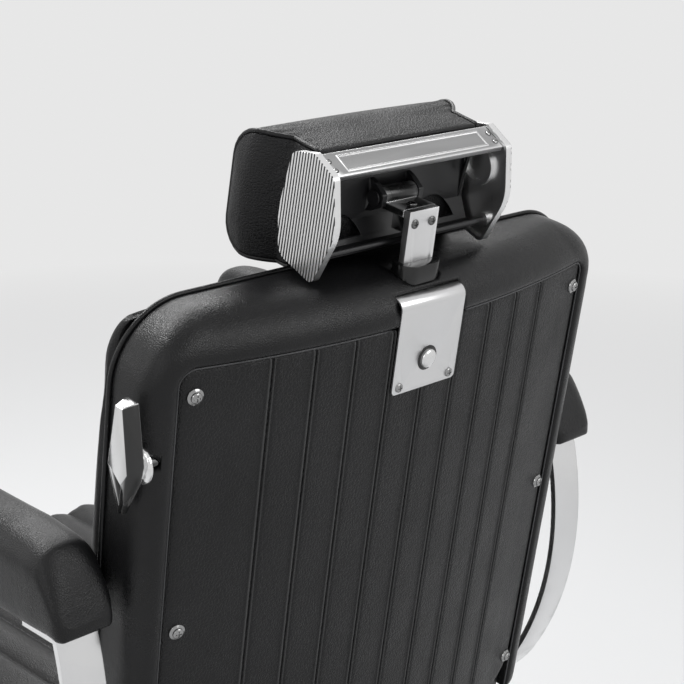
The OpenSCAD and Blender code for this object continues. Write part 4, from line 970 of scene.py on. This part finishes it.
def bar_screw(name, centre, axis):
    """A domed screw on a countersunk ring painted near black as shade, with crossed dark boxes painted as the
    shade of its cross recess, in the headrest's bar.
    """
    r = BAR_SCREW_R
    ring = lathe(name + "_sink", [(r * 1.45, -0.3), (r * 1.45, 0.14), (r * 1.02, 0.1), (r, -0.3)],
                 centre, axis, IN_HEAD, RECESS_SHADE)
    head = lathe(name + "_head", [(r, -0.3), (r, 0.1), (r * 0.92, 0.32), (r * 0.7, 0.5), (r * 0.35, 0.6),
                                  (r * 0.06, 0.62)], centre, axis, IN_HEAD, CHROME)
    # painted shade: two crossed near-black boxes stand, slightly proud, where the cross recess lies in shade
    side = axis.orthogonal().normalized()
    other = axis.cross(side)
    points, faces = [], []
    for u, v in ((side, other), (other, side)):
        base = len(points)
        points += [centre + u * r * 0.66 * a + v * r * 0.13 * b + axis * (0.3 + 0.34 * c)
                   for c in (0, 1) for a, b in ((-1, -1), (1, -1), (1, 1), (-1, 1))]
        faces += [tuple(base + i for i in f) for f in
                  ((0, 1, 2, 3), (4, 5, 6, 7), (0, 1, 5, 4), (1, 2, 6, 5), (2, 3, 7, 6), (3, 0, 4, 7))]
    cross = mesh_object(name + "_cross", placed(points, IN_HEAD), faces, RECESS_SHADE, False)
    outward(cross)
    for obj in (ring, head, cross):
        trim(obj, "headrest")


def make_bar_screws():
    """Two screws at each end of the headrest's bar."""
    up = (bar_point(0, 0, 1) - bar_point(0, 0, 0)).normalized()
    for word, x in (("right", -BAR_SCREW_X), ("left", BAR_SCREW_X)):
        for place, across in (("front", BAR_SCREW_FRONT), ("rear", BAR_SCREW_REAR)):
            bar_screw(f"bar_screw_{word}_{place}", bar_point(x, across, 0.02), up)


# ------------------------------------------------------------------ arms
# Share of the arm's length from its front, then its width, its height and how far its underside rises there
ARM_SHAPE = np.array([
    [0, 0.58, 0.66, 0.16], [0.004, 0.76, 0.84, 0.09], [0.012, 0.9, 0.97, 0.04], [0.03, 0.98, 1.06, 0.005],
    [0.07, 1, 1.1, 0], [0.3, 1, 1.05, 0], [0.5, 1, 1.0, 0], [0.86, 1, 0.955, 0], [0.93, 0.99, 0.9, 0],
    [0.952, 0.97, 0.85, 0], [0.965, 0.96, 0.73, 0], [0.976, 0.95, 0.58, 0], [0.987, 0.92, 0.38, 0.005],
    [0.996, 0.82, 0.2, 0.02], [1, 0.6, 0.09, 0.05]])


def arm_section(w, h):
    """Section of an arm pad, with its lower and upper corners rounded."""
    r, q = min(w, h) * 0.42, min(w, h) * 0.2
    points = []
    for x, z, radius, first, last, steps in ((w / 2 - q, q, q, -90, 0, 5), (w / 2 - r, h - r, r, 0, 90, 8),
                                             (r - w / 2, h - r, r, 90, 180, 8),
                                             (q - w / 2, q, q, 180, 270, 5)):
        for t in np.radians(np.linspace(first, last, steps)):
            points.append((x + radius * math.cos(t), z + radius * math.sin(t)))
    return points


def make_arm(word, side):
    """An arm's padded cover, cut off at a slant behind and fuller at its front."""
    between = [0.002, 0.008, 0.02, 0.03, 0.942, 0.958, 0.982, 0.992, 0.998]
    shares = np.unique(np.concatenate([ARM_SHAPE[:, 0], between, np.linspace(0.12, 0.92, 30)]))
    rings, pinned = [], []
    for i, s in enumerate(shares):
        w, h, lift = (float(np.interp(s, ARM_SHAPE[:, 0], ARM_SHAPE[:, k])) for k in (1, 2, 3))
        section = arm_section(ARM_W * w, (ARM_H - 0.3) * h)
        rings.append([(side * ARM_X + x, ARM_MID - ARM_L / 2 + ARM_L * s, ARM_Z + 0.3 + z + ARM_H * lift)
                      for x, z in section])
        pinned += [i * len(section) + j for j, (_, z) in enumerate(section) if z < 1.0]
    obj = rings_mesh("arm_upholstery_" + word, rings, UPRIGHT, SMOOTH_LEATHER)
    puff(obj, pinned, pressure=1.6, cap=1.2)
    smooth_more(obj)
    soft(obj, "seat", "arm_pad_" + word)


# ------------------------------------------------------------------ assembly
make_panel()
make_border()
make_pillow()
make_bar_screws()
make_arm("right", -1)
make_arm("left", 1)
make_seat()
make_back_front()
make_calf_pad()

EDGES = {"stem_plate": 0.5, "headrest_bar": 0.5, "recline_lever": 0.9, "headrest_stem": 0.4,
         "hinge_block": 0.8, "arm_strap_left": 0.9, "arm_strap_right": 0.9, "stem_collar": 1.2,
         "footplate": 1.0, "leg_frame": 0.8, "seat_apron": 0.5}
for rigid, width in EDGES.items():
    edged(rigid, width)
for turned in ("base_cover", "floor_ring", "column_cover", "lift_shroud", "pump_lever", "lever_rosette",
               "release_button", "headrest_pan"):
    smoothed(turned)


# ------------------------------------------------------------------ stage
def make_floor():
    """A pale floor that curves up into a backdrop far behind the chair."""
    bend, far, wide = 3.0, 9.0, 12
    profile = [(-far, 0.0), (0.0, 0.0), (far - bend, 0.0)]
    profile += [(far - bend + bend * math.sin(t), bend - bend * math.cos(t))
                for t in np.linspace(0.12, math.pi / 2, 12)]
    profile.append((far, far))
    yaw = math.radians(CAMERA_YAW)
    toward = Vector((-math.sin(yaw), -math.cos(yaw), 0))
    side = Vector((toward.y, -toward.x, 0))
    points = [toward * d + side * s + Vector((0, 0, z)) for d, z in profile for s in (-wide, wide)]
    faces = [(2 * i, 2 * i + 1, 2 * i + 3, 2 * i + 2) for i in range(len(profile) - 1)]
    floor = mesh_object("floor", points, faces, FLOOR)


def area_light(name, place, target, power, wide, high):
    """A soft lamp that faces its target."""
    data = bpy.data.lights.new(name, "AREA")
    data.energy = power
    data.shape = "RECTANGLE"
    data.size, data.size_y = wide, high
    obj = linked(name, data)
    obj.location = place
    obj.rotation_mode = "QUATERNION"
    obj.rotation_quaternion = (Vector(target) - Vector(place)).to_track_quat("-Z", "Y")


def make_camera():
    """The camera at the photograph's viewing angle."""
    data = bpy.data.cameras.new("camera")
    data.lens, data.sensor_width, data.sensor_fit = CAMERA_LENS, 36, "HORIZONTAL"
    data.clip_start, data.clip_end = 0.05, 60
    cam = linked("camera", data)
    cam.location = CAMERA_PLACE
    cam.rotation_euler = (math.radians(90 - CAMERA_PITCH), 0, math.radians(180 - CAMERA_YAW))
    bpy.context.scene.camera = cam


def make_world():
    """Soft light from all sides, which shows as the floor's tone where it is seen."""
    world = bpy.data.worlds.new("studio")
    bpy.context.scene.world = world
    world.use_nodes = True
    s = Nodes(world.node_tree)
    light = s.tree.nodes["Background"]
    light.inputs["Color"].default_value = (0.95, 0.97, 1.0, 1)
    light.inputs["Strength"].default_value = 0.33
    backdrop = s.node("ShaderNodeBackground", {"Color": (*grey(FLOOR_TONE), 1)})
    s.surface("World Output", s.seen(), light.outputs["Background"], backdrop.outputs["Background"])


make_camera()
make_floor()
make_world()
area_light("key", (-1.3, -1.8, 3.3), (0, 0.2, 0.8), power=50, wide=1.6, high=1.6)
area_light("top", (0.55, -1.1, 3.2), (0, 0.2, 0.9), power=50, wide=0.9, high=0.9)
area_light("left", (2.4, -1.8, 2.2), (0, 0.2, 0.8), power=18, wide=1.4, high=2.0)
area_light("back", (-1.4, 3.6, 2.8), (-0.4, 0.6, 0.2), power=50, wide=2.6, high=2.0)
area_light("side", (3.2, 1.6, 2.4), (0, 0.3, 0.7), power=14, wide=1.2, high=1.6)
bpy.context.scene.view_settings.view_transform = "Standard"
